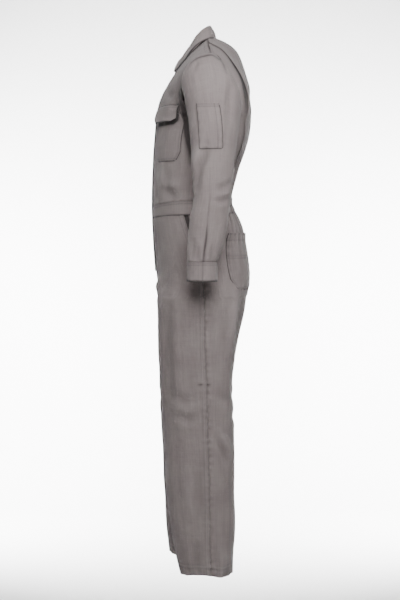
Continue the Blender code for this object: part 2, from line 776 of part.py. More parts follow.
def make_collar(twill):
    """The stand round the neck, and the leaf that folds over it."""
    stand = []
    leaf = []
    for row in COLLAR:
        base = spot(NECK_LINE, row["neck"])
        fold = Vector((row["fold_x"], row["fold_y"], row["fold_z"]))
        edge = Vector((row["edge_x"], row["edge_y"], row["edge_z"]))
        out = Vector((base.x, base.y + NECK_CENTRE_BACK, 0)).normalized()
        stand_top = base.lerp(fold, STAND_SHARE) - out * 0.0008
        rise = (fold - base).normalized()
        foot = base + rise * 0.0032 - out * 0.0012
        stand.append([foot.lerp(stand_top, t) for t in (0, 0.5, 1)])
        turn_in = fold - out * 0.0016 - rise * 0.0008
        crest = fold + out * 0.0012 + rise * 0.0016
        shoulder = fold.lerp(edge, 0.22) + out * 0.0040
        belly = fold.lerp(edge, 0.60) + out * 0.0035
        leaf.append([turn_in, crest, shoulder, belly, edge])
    wall("collar_stand", stand + mirrored(stand[-2::-1]), twill, neck_middle)
    leaf = leaf + mirrored(leaf[-2::-1])
    wall("collar_leaf", leaf, twill, neck_middle, thickness=COLLAR_CLOTH, grow="out")


def neck_middle(point):
    """The middle of the neck opening."""
    return Vector((0, -0.035, point.z - 0.02))


def place_height(surface, z, share, level):
    """Level at which a surface reaches a height, at a share of the way round."""
    step = 0.002
    for _ in range(30):
        here = surface(level, share).z
        rise = (surface(level + step, share).z - here) / step
        level += max(-0.3, min(0.3, (z - here) / rise))
    return level, share


def patch(surface, outline, across_axis, guess, inside, count=6):
    """A grid laid on a surface, one row for each row of an outline, lifted off it.

    The outline's edges are coordinates on an axis, or shares of the way round for no axis.
    """
    rows = []
    for line in outline:
        row = []
        for k in range(count + 1):
            across = mix(line["inner"], line["outer"], k / count)
            if across_axis is None:
                level, share = place_height(surface, line["z"], across, guess[0])
            else:
                level, share = place(surface, (line["z"], across), (2, across_axis), guess)
            point = surface(level, share)
            away = outward(surface, level, share, inside(point))
            row.append(point + away * line["lift"])
        rows.append(row)
    return rows


def make_pockets(twill):
    """Patch pockets and flaps."""
    def chest(level, share):
        return bodice(level, share, "front")
    for name, outline in (("chest_pocket", CHEST_POCKET), ("chest_flap", CHEST_FLAP)):
        rows = patch(chest, outline, 0, (1.0, 0.5), trunk_middle)
        both_sides(name, rows, twill, None, grow="out")
    for side, label in ((1, "left"), (-1, "right")):
        rows = seat_pocket(side)
        rows = rows if side > 0 else mirrored(rows)
        wall("back_pocket_" + label, rows, twill, leg_middle(side), grow="out")
    rows = patch(sleeve_skin, SLEEVE_POCKET, 1, (5.0, 0.0), sleeve_middle(1), count=4)
    wall("sleeve_pocket", rows, twill, sleeve_middle(1), grow="out")


def seat_pocket(side):
    """The back pocket's grid, made on the left of the body for either leg."""
    def seat(level, share):
        return trousers(level, share, "back", side)
    return patch(seat, BACK_POCKET, None, (2.5, 0.6), leg_middle(1))


def sleeve_skin(level, share):
    """The sleeve between two rings of its table; share runs from the crown towards the back."""
    below = max(0, min(int(level), len(SLEEVE) - 2))
    above, under = SLEEVE[below], SLEEVE[below + 1]
    row = {name: mix(above[name], under[name], level - below) for name in above}
    return sleeve_ring(row, sides=1, shift=share)[0]


def front_at(z, x):
    """The point of the front at a height and a distance from the centre."""
    maker, middle = bodice, 1.0
    if z <= BAND_FOOT["front"]:
        maker, middle = trousers, 2.0
    elif z <= BAND_TOP["front"]:
        maker, middle = waistband, 0.5

    def surface(level, share):
        return maker(level, share, "front")
    level, share = place(surface, (z, x), (2, 0), (middle, 0.1))
    return surface(level, share)


def make_placket(twill):
    """The strip over the zip, from the neck to the foot of the fly."""
    count = 22
    rows = []
    for k in range(count + 1):
        z = mix(PLACKET_TOP_Z, PLACKET_FOOT_Z, k / count)
        half = PLACKET_HALF if k > 0 else PLACKET_TOP_HALF
        near = front_at(z, half)
        mid = front_at(z, half * 0.5)
        lift = Vector((0, -LAY_ON, 0))
        rows.append([
            Vector((-near.x, near.y, near.z)) + lift,
            Vector((-mid.x, mid.y, mid.z)) + lift,
            Vector((0, min(mid.y, near.y) - PLACKET_CROWN, z)) + lift,
            mid + lift,
            near + lift])
    wall("front_placket", rows, twill, trunk_middle, grow="out")


def make_suit():
    """The whole suit."""
    clear_scene()
    group = bpy.data.collections.new(SUIT)
    bpy.context.scene.collection.children.link(group)
    twill = make_material("grey_twill", (0.25, 0.235, 0.24))
    make_fronts(twill)
    make_back(twill)
    make_waistbands(twill)
    make_trousers(twill)
    make_sleeves(twill)
    make_collar(twill)
    make_pockets(twill)
    make_placket(twill)


make_suit()
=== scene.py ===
"""The looks of a grey twill boiler suit, worn and hollow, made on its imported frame."""

import math

import bmesh
import bpy
import numpy as np
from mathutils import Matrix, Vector, noise
from numpy.linalg import norm


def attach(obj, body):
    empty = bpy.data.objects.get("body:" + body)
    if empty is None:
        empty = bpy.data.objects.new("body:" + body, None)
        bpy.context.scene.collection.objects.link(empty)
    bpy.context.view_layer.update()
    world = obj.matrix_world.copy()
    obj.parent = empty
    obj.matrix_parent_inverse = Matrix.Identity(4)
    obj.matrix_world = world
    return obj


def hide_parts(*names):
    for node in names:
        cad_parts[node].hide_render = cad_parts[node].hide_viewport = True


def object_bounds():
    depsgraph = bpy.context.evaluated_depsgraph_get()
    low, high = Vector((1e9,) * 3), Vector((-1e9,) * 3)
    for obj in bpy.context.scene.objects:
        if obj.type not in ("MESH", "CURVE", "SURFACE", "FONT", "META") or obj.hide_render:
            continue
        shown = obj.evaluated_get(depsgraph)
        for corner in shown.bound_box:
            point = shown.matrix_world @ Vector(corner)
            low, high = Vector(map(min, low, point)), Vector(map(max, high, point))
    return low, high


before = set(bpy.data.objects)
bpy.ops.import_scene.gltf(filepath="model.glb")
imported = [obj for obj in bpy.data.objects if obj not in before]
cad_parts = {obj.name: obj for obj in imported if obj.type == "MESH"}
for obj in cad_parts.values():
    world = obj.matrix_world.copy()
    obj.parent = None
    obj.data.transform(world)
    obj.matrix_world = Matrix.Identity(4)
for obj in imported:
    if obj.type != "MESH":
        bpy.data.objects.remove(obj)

cad_low, cad_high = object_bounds()
bpy.ops.object.select_all(action="DESELECT")


# The studio: a white sweep under and behind the suit, with large soft lamps. The suit's
# hems hang well clear of the floor.

EYE = Vector((4.0, -0.0293, -0.5215))
EYE_TILT = math.radians(-3.14)
LENS = 81.9               # focal length, in millimetres
FLOOR_Z = cad_low.z - 1.0
SIDES = (("left", 1), ("right", -1))


def paint(code):
    """A hex sRGB colour as linear red, green, blue and full alpha."""
    values = [int(code[i:i + 2], 16) / 255 for i in (0, 2, 4)]
    linear = [v / 12.92 if v <= 0.04045 else ((v + 0.055) / 1.055) ** 2.4 for v in values]
    return (*linear, 1.0)


def add_node(tree, kind, settings=(), inputs=(), links=()):
    """Add a node with its settings and input values, and link outputs of others into it."""
    made = tree.nodes.new("ShaderNode" + kind)
    for name, value in dict(settings).items():
        setattr(made, name, value)
    for name, value in dict(inputs).items():
        made.inputs[name].default_value = value
    for name, source in dict(links).items():
        tree.links.new(source, made.inputs[name])
    return made


def new_material(name):
    """An empty node material, its tree and its shader."""
    material = bpy.data.materials.new(name)
    material.use_nodes = True
    return material, material.node_tree, material.node_tree.nodes["Principled BSDF"]


def add_object(name, data):
    """An object of the scene that shows a mesh, a lamp or a camera."""
    made = bpy.data.objects.new(name, data)
    bpy.context.scene.collection.objects.link(made)
    return made


def make_floor():
    """Painted white sweep: a floor that curves up far behind the suit."""
    size, bend, back, tall = 9.0, 1.2, -5.5, 7.0
    profile = [(size, FLOOR_Z)]
    for k in range(13):
        turn = math.radians(90 * k / 12)
        profile.append((back - bend * math.sin(turn), FLOOR_Z + bend * (1 - math.cos(turn))))
    profile.append((back - bend, FLOOR_Z + tall))
    n = len(profile)
    verts = [(x, y, z) for y in (-size, size) for x, z in profile]
    data = bpy.data.meshes.new("studio_floor")
    data.from_pydata(verts, [], [(k, k + 1, n + k + 1, n + k) for k in range(n - 1)])
    data.shade_smooth()
    material, tree, shader = new_material("studio_white_paint")
    place = add_node(tree, "TexCoord")
    mottle = add_node(
        tree, "TexNoise", inputs={"Scale": 1.5, "Detail": 3.0},
        links={"Vector": place.outputs["Object"]})
    tone = add_node(
        tree, "Mix", settings={"data_type": "RGBA"},
        inputs={6: paint("F4F4F4"), 7: paint("FAFAFA")}, links={0: mottle.outputs["Fac"]})
    tree.links.new(tone.outputs[2], shader.inputs["Base Color"])
    shader.inputs["Roughness"].default_value = 0.9
    data.materials.append(material)
    add_object("studio_floor", data)


def add_lamp(name, place, aim, size, power, spread=180):
    """A square soft lamp that faces a point, with the degrees its light spreads over."""
    light = bpy.data.lights.new(name, "AREA")
    light.shape = "SQUARE"
    light.size = size
    light.energy = power
    light.spread = math.radians(spread)
    lamp = add_object(name, light)
    lamp.location = place
    lamp.rotation_euler = (Vector(aim) - Vector(place)).to_track_quat("-Z", "Y").to_euler()


def make_studio():
    """Floor, sky, lamps and the camera at the suit's left side."""
    make_floor()
    sky = bpy.data.worlds.new("studio_sky")
    bpy.context.scene.world = sky
    sky.use_nodes = True
    glow = sky.node_tree.nodes["Background"]
    glow.inputs["Color"].default_value = (1, 1, 1, 1)
    glow.inputs["Strength"].default_value = 0.12
    add_lamp("key_lamp", (1.9, 0.14, 0.75), (0.2, 0.0, -0.25), 1.3, 53)
    for label, side in SIDES:
        place, aim = (-4.2, side * 2.3, -0.6), (-6.7, side * 0.2, -1.8)
        add_lamp(label + "_backdrop_lamp", place, aim, 1.2, 560, spread=150)
    lens = bpy.data.cameras.new("camera")
    lens.sensor_fit = "VERTICAL"
    lens.sensor_height = 36
    lens.lens = LENS
    camera = add_object("camera", lens)
    camera.location = EYE
    look = Vector((-math.cos(EYE_TILT), 0, math.sin(EYE_TILT)))
    camera.rotation_euler = look.to_track_quat("-Z", "Y").to_euler()
    bpy.context.scene.camera = camera


make_studio()


# The fronts: two panels of cotton-rich twill from the waistband to the shoulder seams.
# Like every other piece they are cut flat, sewn, and pulled into folds where they are worn.

CLOTH_THICK = 0.0012
SHORT_EDGE = 0.0036       # shorter edges than this run through a wall of the frame
WELD = 2e-5               # points nearer than this are one point of the frame
CLOSE_UP = 0.00045        # how far an edge moves out to meet its neighbour at a seam
SEAM_DIP = 0.0008
SEAM_WIDE = 0.0018
DENT_WIDE = 0.0013        # half width of the dent along a row of stitches
SWELL = 0.38              # height of the swell beside a fold, as a share of the fold's depth
FINE = 0.0034             # spacing of the cloth's points
CLOSEST = 0.0007          # points of one row are at least this far apart
NEAR_EDGE = (0.0008, 0.0020, 0.0042, 0.0068, 0.0088, 0.0108)
TRUNK = (0.0, -0.03)      # the middle of the trunk, seen from above
NECK = (0.0, -0.035)


def triangles_of(cad, middle):
    """Points and triangles of the outer skin of a wall of the frame."""
    mesh = bmesh.new()
    mesh.from_mesh(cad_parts[cad].data)
    bmesh.ops.remove_doubles(mesh, verts=mesh.verts, dist=WELD)
    rim = [f for f in mesh.faces if min(e.calc_length() for e in f.edges) < SHORT_EDGE]
    bmesh.ops.delete(mesh, geom=rim, context="FACES_ONLY")
    mesh.verts.index_update()
    mesh.normal_update()
    left = set(mesh.faces)
    best, most = None, -1e9
    while left:
        skin = [left.pop()]
        for face in skin:
            for edge in face.edges:
                for other in edge.link_faces:
                    if other in left:
                        left.discard(other)
                        skin.append(other)
        votes = 0.0
        for face in skin:
            away = face.calc_center_median().xy - Vector(middle)
            votes += face.calc_area() * face.normal.xy.dot(away.normalized())
        if votes > most:
            best, most = skin, votes
    points = {v.index: np.array(v.co) for face in best for v in face.verts}
    faces = [tuple(v.index for v in face.verts) for face in best]
    mesh.free()
    return points, faces


def rims_of(faces):
    """The closed chains of points round the open edges of a skin."""
    times = {}
    for a, b, c in faces:
        for pair in ((a, b), (b, c), (c, a)):
            times[frozenset(pair)] = times.get(frozenset(pair), 0) + 1
    beside = {}
    for pair in times:
        if times[pair] == 1:
            for point in pair:
                beside.setdefault(point, []).extend(pair - {point})
    rims = []
    while beside:
        chain = [min(beside)]
        while True:
            ways = [p for p in beside[chain[-1]] if p not in chain]
            if not ways:
                break
            chain.append(ways[0])
        for point in chain:
            beside.pop(point)
        rims.append(chain)
    return rims


def weave_rows(points, faces, first_row, starts):
    """Rows of a grid of points, from its triangles, its first row and what begins each row."""
    at_edge = {}
    for face in faces:
        for a, b in ((0, 1), (1, 2), (2, 0)):
            at_edge.setdefault(frozenset((face[a], face[b])), []).append(face)
    used = set()

    def third(a, b):
        """The far corner of the next unused triangle on an edge."""
        for face in at_edge.get(frozenset((a, b)), ()):
            if face not in used:
                used.add(face)
                return next(p for p in face if p not in (a, b))
        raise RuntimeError("the frame's grid is broken")

    rows = [first_row]
    while True:
        above = rows[-1]
        begin = starts(above, used, len(rows))
        if begin is None:
            return rows
        row = [begin]
        for a, b in zip(above, above[1:]):
            corner = third(a, b)
            if corner == row[-1]:
                corner = third(row[-1], b)
            else:
                third(a, corner)
            row.append(corner)
        rows.append(row)


def panel_grid(cad, columns, across, middle=TRUNK, up=(0, 0, 1)):
    """The frame's points for an open piece: rows that climb along up and run along across."""
    points, faces = triangles_of(cad, middle)
    chain = rims_of(faces)[0]
    total = len(chain)
    ring = np.array([points[p] for p in chain])
    before = ring - np.roll(ring, 1, axis=0)
    after = np.roll(ring, -1, axis=0) - ring
    turn = 1 - (before * after).sum(1) / norm(before, axis=1) / norm(after, axis=1)
    rows = total // 2 - columns + 2
    steps = (0, columns - 1, columns + rows - 2, 2 * columns + rows - 3)
    start = max(range(total), key=lambda s: sum(turn[(s + k) % total] for k in steps))
    first = [chain[(start + k) % total] for k in range(columns)]
    side = [chain[(start - k) % total] for k in range(rows)]
    woven = weave_rows(points, faces, first, lambda _a, _u, n: side[n] if n < rows else None)
    grid = np.array([[points[p] for p in row] for row in woven])
    if (grid[:, -1] - grid[:, 0]).mean(0) @ np.array(across) < 0:
        grid = grid[:, ::-1]
    if (grid[-1] - grid[0]).mean(0) @ np.array(up) < 0:
        grid = grid[::-1]
    return grid


def along(values, knots, at, crisp=False):
    """A smooth curve through values at the knots, read at other places. If crisp, it turns
    sharply where the values turn by more than about 30 degrees."""
    wide = np.diff(knots)
    shape = (-1,) + (1,) * (values.ndim - 1)
    rise = np.diff(values, axis=0) / wide.reshape(shape)
    w = wide.reshape(shape)
    lean = np.empty_like(values)
    lean[1:-1] = (rise[:-1] * w[1:] + rise[1:] * w[:-1]) / (w[1:] + w[:-1])
    lean[0] = 1.5 * rise[0] - 0.5 * lean[1] if len(knots) > 2 else rise[0]
    lean[-1] = 1.5 * rise[-1] - 0.5 * lean[-2] if len(knots) > 2 else rise[-1]
    leave, reach = lean[:-1].copy(), lean[1:].copy()
    if crisp:
        long = norm(rise, axis=-1, keepdims=True)
        straight = (rise[1:] * rise[:-1]).sum(-1, keepdims=True) / (long[1:] * long[:-1])
        corner = np.clip((0.90 - straight) / 0.06, 0, 1)
        leave[1:] += (rise[1:] - leave[1:]) * corner
        reach[:-1] += (rise[:-1] - reach[:-1]) * corner
    k = np.clip(np.searchsorted(knots, at, side="right") - 1, 0, len(wide) - 1)
    t = ((at - knots[k]) / wide[k]).reshape(shape)
    w = wide[k].reshape(shape)
    ends = values[k] * (1 + 2 * t) * (1 - t) ** 2 + values[k + 1] * t * t * (3 - 2 * t)
    return ends + w * (leave[k] * t * (1 - t) ** 2 - reach[k] * t * t * (1 - t))


def lengths(line):
    """How far each point of a line is from its first one, along it."""
    return np.concatenate([[0], np.cumsum(norm(np.diff(line, axis=0), axis=1))])


def places(total, step, both_ends=True):
    """Where points go along a length: evenly, and closer together beside its ends."""
    count = max(3, round(total / step))
    spots = list(np.linspace(0, total, count + 1))
    if both_ends:
        for near in NEAR_EDGE:
            if near < total * 0.3:
                spots += [near, total - near]
    kept = [0.0]
    for spot in sorted(spots):
        if spot - kept[-1] > CLOSEST:
            kept.append(spot)
    kept[-1] = total
    return np.array(kept)


def soft_step(value):
    """0 below 0, 1 above 1, and a smooth rise between."""
    t = np.clip(value, 0.0, 1.0)
    return t * t * (3 - 2 * t)


def bell(distance, wide):
    """1 at no distance, falling smoothly to almost 0 at twice the width."""
    return np.exp(-(distance / wide) ** 2)


class Cut:
    """A cut piece on its place in the suit: fine points, their heights off it and its edges."""

    def __init__(self, name, grid, middle, closed=False, step=FINE, crisp=False):
        self.name = name
        self.closed = closed
        if closed:
            grid = np.concatenate([grid[:, -4:-1], grid, grid[:, 1:4]], axis=1)
        across = norm(np.diff(grid, axis=1), axis=2).mean(0)
        knots = np.concatenate([[0], np.cumsum(across)])
        if closed:
            knots -= knots[3]
            at = places(knots[-4], step, both_ends=False)
        else:
            at = places(knots[-1], step)
        grid = np.moveaxis(along(np.moveaxis(grid, 1, 0), knots, at, crisp), 0, 1)
        climb = norm(np.diff(grid, axis=0), axis=2).mean(1)
        knots = np.concatenate([[0], np.cumsum(climb)])
        self.points = along(grid, knots, places(knots[-1], step), crisp)
        if closed:
            self.points[:, -1] = self.points[:, 0]
        self.measure()
        self.area = self.flat_area()
        away = self.points[..., :2] - np.array(middle)
        self.turned = (away * self.facing()[..., :2]).sum() < 0
        self.normals = self.facing() * (-1 if self.turned else 1)
        self.height = np.zeros(self.points.shape[:2])
        # How much paler the cloth's colour is drawn (above 0: wear and painted highlight) or darker
        # (below 0: painted shade)
        self.wear_and_shade = np.zeros(self.points.shape[:2])

    def measure(self):
        """Distance of each point from each of the four edges, along the cloth."""
        run = norm(np.diff(self.points, axis=1), axis=2)
        rise = norm(np.diff(self.points, axis=0), axis=2)
        zero = np.zeros((len(self.points), 1))
        left = np.hstack([zero, np.cumsum(run, axis=1)])
        foot = np.vstack([np.zeros((1, self.points.shape[1])), np.cumsum(rise, axis=0)])
        self.far = {"left": left, "right": left[:, -1:] - left,
                    "foot": foot, "head": foot[-1:] - foot}

    def flat_area(self):
        """Area of the cloth before any fold is pressed into it."""
        p = self.points
        one = np.cross(p[1:, 1:] - p[:-1, :-1], p[1:, :-1] - p[:-1, 1:])
        return float(norm(one, axis=2).sum() / 2)

    def let_out(self, by):
        """Move the right edge out along the cloth, with the cloth beside it."""
        way = np.gradient(self.points, axis=1)
        way /= norm(way, axis=2, keepdims=True)
        self.points += way * by[..., None]
        self.measure()
        self.area = self.flat_area()

    def facing(self):
        """Unit normals of the grid."""
        p = self.points
        if self.closed:
            wrapped = np.concatenate([p[:, -2:-1], p, p[:, 1:2]], axis=1)
            run = (wrapped[:, 2:] - wrapped[:, :-2])
        else:
            run = np.gradient(p, axis=1)
        normal = np.cross(run, np.gradient(p, axis=0))
        return normal / np.maximum(norm(normal, axis=2, keepdims=True), 1e-12)

    def meet(self, *edges, dark=0.5):
        """Bring edges up to their neighbours and press a dip along the seam between them, with painted
        shade in the dip.
        """
        p = self.points
        lines = {"left": (p[:, 0], p[:, 1]), "right": (p[:, -1], p[:, -2]),
                 "foot": (p[0], p[1]), "head": (p[-1], p[-2])}
        for edge in edges:
            end, inner = lines[edge]
            way = end - inner
            end += way / norm(way, axis=1, keepdims=True) * CLOSE_UP
            dip = bell(self.far[edge], SEAM_WIDE)
            self.height -= SEAM_DIP * dip
            self.wear_and_shade -= dark * dip

    def lap(self, edge, wide=0.0095, rise=0.0009):
        """Turn a seam's layers under one edge: a low flat ridge along it, drawn paler along its crest,
        with painted shade just beside it.
        """
        d = self.far[edge]
        ridge = 1 - soft_step((d - wide) / 0.0022)
        self.height += rise * ridge
        self.wear_and_shade += 0.35 * bell(d - wide + 0.001, 0.0022)
        self.wear_and_shade -= 0.20 * bell(d - wide - 0.003, 0.0020)

    def groove(self, edge, inset, depth=0.0004):
        """The dent that a row of stitches pulls into the cloth, with painted shade in it."""
        dent = bell(self.far[edge] - inset, DENT_WIDE)
        self.height -= depth * dent
        self.wear_and_shade -= 0.40 * dent

    def paint_edge_shade(self, edge, by, reach):
        """Paint shade on the cloth along an edge."""
        self.wear_and_shade -= by * bell(self.far[edge], reach)

    def sit(self, edge, drop, reach=0.004):
        """Let an edge down on what the piece is sewn to, with painted shade along it."""
        self.height -= drop * bell(self.far[edge], reach)
        self.paint_edge_shade(edge, 1.1, DENT_WIDE)

    def pucker(self, edge, pitch, reach, depth, seed):
        """Small uneven gathers that a tight seam draws into the cloth beside it, with painted highlight
        on their crests and painted shade in their hollows.
        """
        d = self.far[edge]
        where = self.far["foot"] if edge in ("left", "right") else self.far["left"]
        rng = np.random.RandomState(seed)
        knots = np.arange(-2, int(where.max() / pitch) + 4) * pitch
        wave = rng.uniform(-1, 1, len(knots)) + 0.6 * np.where(np.arange(len(knots)) % 2, 1, -1)
        value = along(wave, knots.astype(float), where.ravel() * 1.0).reshape(where.shape)
        fade = np.exp(-(d / reach) ** 1.3)
        self.height += depth * value * fade
        self.wear_and_shade += min(120 * depth, 0.3) * value * fade

    def fold(self, plane, side, wide, depth, line, dark=0.0):
        """A trough, or a ridge where depth is below 0, along a line seen from one side. Its
        bottom gets painted shade, and a ridge painted highlight, by an amount that follows its
        depth unless a shade is given."""
        axes, face = {"side": ((1, 2), (side, 0, 0)), "front": ((0, 2), (0, -1, 0)),
                      "back": ((0, 2), (0, 1, 0))}[plane]
        seen = np.clip((self.normals @ np.array(face, float)) * 1.6, 0, 1)
        if plane == "side":
            seen = seen * (self.points[..., 0] * side > 0)
        flat = self.points[..., axes]
        line = np.array(line, float)
        if plane != "side":
            line[:, 0] *= side
        marks = lengths(line)
        dense = np.linspace(0, marks[-1], max(8, int(marks[-1] / 0.008)))
        curve = along(line, marks, dense)
        nearest = np.full(flat.shape[:2], 1e9)
        share = np.zeros(flat.shape[:2])
        for k in range(len(curve) - 1):
            a, step = curve[k], curve[k + 1] - curve[k]
            t = np.clip(((flat - a) @ step) / (step @ step), 0, 1)
            gap = norm(flat - a - t[..., None] * step, axis=2)
            closer = gap < nearest
            nearest = np.where(closer, gap, nearest)
            share = np.where(closer, (k + t) / (len(curve) - 1), share)
        fade = np.sin(np.pi * np.clip(share, 0.04, 0.96)) ** 0.7
        q = nearest / wide
        profile = bell(q, 1) - SWELL * bell(q - 1.9, 0.9)
        self.height -= depth * fade * profile * seen
        if dark:
            self.wear_and_shade -= dark * fade * bell(q, 1) * np.clip(seen * 1.5, 0, 1)
        else:
            self.wear_and_shade -= 45 * depth * fade * bell(q, 1) * seen

    def shade_beside(self, edge, off, drop, reach, dark):
        """Darken the cloth behind another piece's edge, which stands off it by a distance
        and drops its shade a little lower."""
        way = np.array(TRUNK) - edge[:, :2]
        way /= norm(way, axis=1, keepdims=True)
        flat = self.points.reshape(-1, 3)
        gap = np.full(len(flat), 1.0)
        for spot in np.hstack([edge[:, :2] + off * way, edge[:, 2:] - drop]):
            gap = np.minimum(gap, norm(flat - spot, axis=1))
        self.wear_and_shade -= dark * bell(gap.reshape(self.wear_and_shade.shape), reach)

    def slack(self, size, depth, seed=0.0):
        """Gentle unevenness over the whole piece, the same on both sides of any seam."""
        flat = self.points.reshape(-1, 3)
        shift = Vector((seed, seed * 0.7, seed * 1.3))
        wave = [noise.noise(Vector((p[0], p[1], p[2] * 0.6)) / size + shift) for p in flat]
        self.height += depth * np.array(wave).reshape(self.height.shape)

    def line(self, edge, inset):
        """The row that runs beside an edge, a set distance in: each point and its normal."""
        far, values = self.far[edge], np.dstack([self.placed(), self.normals])
        if edge in ("foot", "head"):
            far, values = far.T, values.transpose(1, 0, 2)
        row = []
        for d, beside in zip(far, values):
            order = np.argsort(d)
            row.append([np.interp(inset, d[order], value) for value in beside[order].T])
        return np.array(row)

    def placed(self):
        """The points with their heights."""
        return self.points + self.normals * self.height[..., None]

    def sew(self, *rests_on, thick=CLOTH_THICK, held="hung"):
        """Make the piece a wall of cloth that stands for its node of the frame."""
        placed = self.placed()
        tall, wide = placed.shape[:2]
        columns = wide - 1 if self.closed else wide
        index = np.arange(tall * columns).reshape(tall, columns)
        if self.closed:
            index = np.hstack([index, index[:, :1]])
        quads = np.stack([index[:-1, :-1], index[:-1, 1:], index[1:, 1:], index[1:, :-1]], axis=-1)
        corners = ((0, 0), (0, 1), (1, 1), (1, 0))
        if self.turned:
            quads = quads[..., ::-1]
            corners = corners[::-1]
        data = bpy.data.meshes.new(self.name)
        data.from_pydata(placed[:, :columns].reshape(-1, 3).tolist(), [], quads.reshape(-1, 4).tolist())
        grain = data.uv_layers.new(name="grain")
        u = np.median(self.far["left"], axis=0)
        v = np.median(self.far["foot"], axis=1)
        spots = np.empty((tall - 1, wide - 1, 4, 2))
        for k, (down, over) in enumerate(corners):
            spots[..., k, 0] = u[None, over:over + wide - 1]
            spots[..., k, 1] = v[down:down + tall - 1, None]
        grain.data.foreach_set("uv", spots.ravel())
        # The cloth's paler wear and painted highlight and its painted shade, for the material to read
        wear_and_shade_layer = data.attributes.new("wear_and_shade", "FLOAT", "POINT")
        wear_and_shade_layer.data.foreach_set("value", self.wear_and_shade[:, :columns].ravel())
        data.materials.append(TWILL)
        data.shade_smooth()
        piece = add_object("cloth_" + self.name, data)
        wall = piece.modifiers.new("wall", "SOLIDIFY")
        wall.thickness = thick
        wall.offset = -1
        bpy.context.view_layer.objects.active = piece
        bpy.ops.object.modifier_apply(modifier="wall")
        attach(piece, "root")
        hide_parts(self.name)


def panel(name, columns, across, middle=TRUNK, up=(0, 0, 1), step=FINE, crisp=False):
    """An open cut piece of the suit on its node of the frame."""
    grid = panel_grid(name, columns, across, middle, up)
    return Cut(name, grid, middle, step=step, crisp=crisp)


def make_twill():
    """Grey cotton-rich twill, piece-dyed: a matt cloth whose uneven warp yarns draw fine
    streaks down it, with diagonal wales, paler on worn ridges and where a highlight is painted,
    and darker where shade is painted into seams, creases and under edges. Its wales are 0.6 mm
    apart and are drawn 1.8 mm apart so that they show."""
    wale, yarn, band, fibre = 0.0018, 0.0042, 0.0105, 0.0011
    wave_rows = 3.18          # rows to the metre in a wave texture whose scale is 1
    material, tree, shader = new_material("grey_cotton_twill")
    grain = add_node(tree, "UVMap", settings={"uv_map": "grain"})
    place = add_node(tree, "TexCoord")
    turned = add_node(
        tree, "Mapping", inputs={"Rotation": (0, 0, math.radians(-27))},
        links={"Vector": grain.outputs["UV"]})
    wales = add_node(
        tree, "TexWave", settings={"bands_direction": "X", "wave_profile": "SIN"},
        inputs={"Scale": 1 / wale / wave_rows, "Distortion": 1.2, "Detail": 2.0, "Detail Scale": 2.0},
        links={"Vector": turned.outputs["Vector"]}).outputs["Fac"]
    drawn = []
    for across, down, detail in (
            (yarn, 14 * yarn, 3.0), (band, 22 * band, 2.0), (12 * yarn, 0.9 * yarn, 2.0),
            (fibre, fibre, 2.0)):
        spread = add_node(
            tree, "Mapping", inputs={"Scale": (1 / across, 1 / down, 1)},
            links={"Vector": grain.outputs["UV"]})
        drawn.append(add_node(
            tree, "TexNoise", inputs={"Scale": 1.0, "Detail": detail, "Roughness": 0.6},
            links={"Vector": spread.outputs["Vector"]}).outputs["Fac"])
    yarns, bands, weft, fuzz = drawn
    cloud, crumple = [
        add_node(
            tree, "TexNoise", inputs={"Scale": scale, "Detail": 3.0, "Roughness": rough},
            links={"Vector": place.outputs["Object"]}).outputs["Fac"]
        for scale, rough in ((13.0, 0.55), (42.0, 0.5))]
    base = add_node(
        tree, "Mix", settings={"data_type": "RGBA"},
        inputs={6: paint("9E9192"), 7: paint("918987")}, links={0: cloud})
    shares = ((yarns, 0.36), (bands, 0.24), (weft, 0.20), (fuzz, 0.42), (wales, 0.10), (cloud, 0.45))
    even = 1 - sum(share for _pattern, share in shares) / 2
    factor = None
    for pattern, share in shares:
        links = {0: pattern, 2: factor} if factor else {0: pattern}
        factor = add_node(
            tree, "Math", settings={"operation": "MULTIPLY_ADD"},
            inputs={1: share, 2: even}, links=links).outputs[0]
    tone = add_node(
        tree, "VectorMath", settings={"operation": "SCALE"},
        links={0: base.outputs[2], "Scale": factor}).outputs[0]
    wear_and_shade = add_node(tree, "Attribute", settings={"attribute_name": "wear_and_shade"})
    # Mixed towards a pale grey where the cloth is worn or a highlight is painted, and towards near
    # black where shade is painted
    for high, colour, share in ((0.6, "C6BFC0", 0.42), (-1.0, "1F1B1C", 0.80)):
        amount = add_node(
            tree, "MapRange", inputs={"From Max": high, "To Max": share},
            links={"Value": wear_and_shade.outputs["Fac"]})
        tone = add_node(
            tree, "Mix", settings={"data_type": "RGBA"},
            inputs={7: paint(colour)}, links={0: amount.outputs["Result"], 6: tone}).outputs[2]
    tree.links.new(tone, shader.inputs["Base Color"])
    dull = add_node(
        tree, "MapRange", inputs={"To Min": 0.80, "To Max": 0.96},
        links={"Value": yarns})
    tree.links.new(dull.outputs["Result"], shader.inputs["Roughness"])
    shader.inputs["Sheen Weight"].default_value = 0.20
    shader.inputs["Sheen Roughness"].default_value = 0.5
    shader.inputs["Specular IOR Level"].default_value = 0.25
    normal = None
    for height, strength, deep in (
            (wales, 0.35, 0.0004), (yarns, 0.60, 0.0008), (bands, 0.50, 0.0016),
            (crumple, 0.55, 0.0030)):
        links = {"Height": height, "Normal": normal} if normal else {"Height": height}
        normal = add_node(
            tree, "Bump", inputs={"Strength": strength, "Distance": deep},
            links=links).outputs["Normal"]
    tree.links.new(normal, shader.inputs["Normal"])
    return material


TWILL = make_twill()
BODY_SLACK = (0.075, 0.0022)        # size and depth of the unevenness
RIGHT_LOWER = 0.012
RIGHT_WEAKER = 0.85
TWIN_ROWS = (0.0022, 0.0085)        # how far in two rows of stitching run

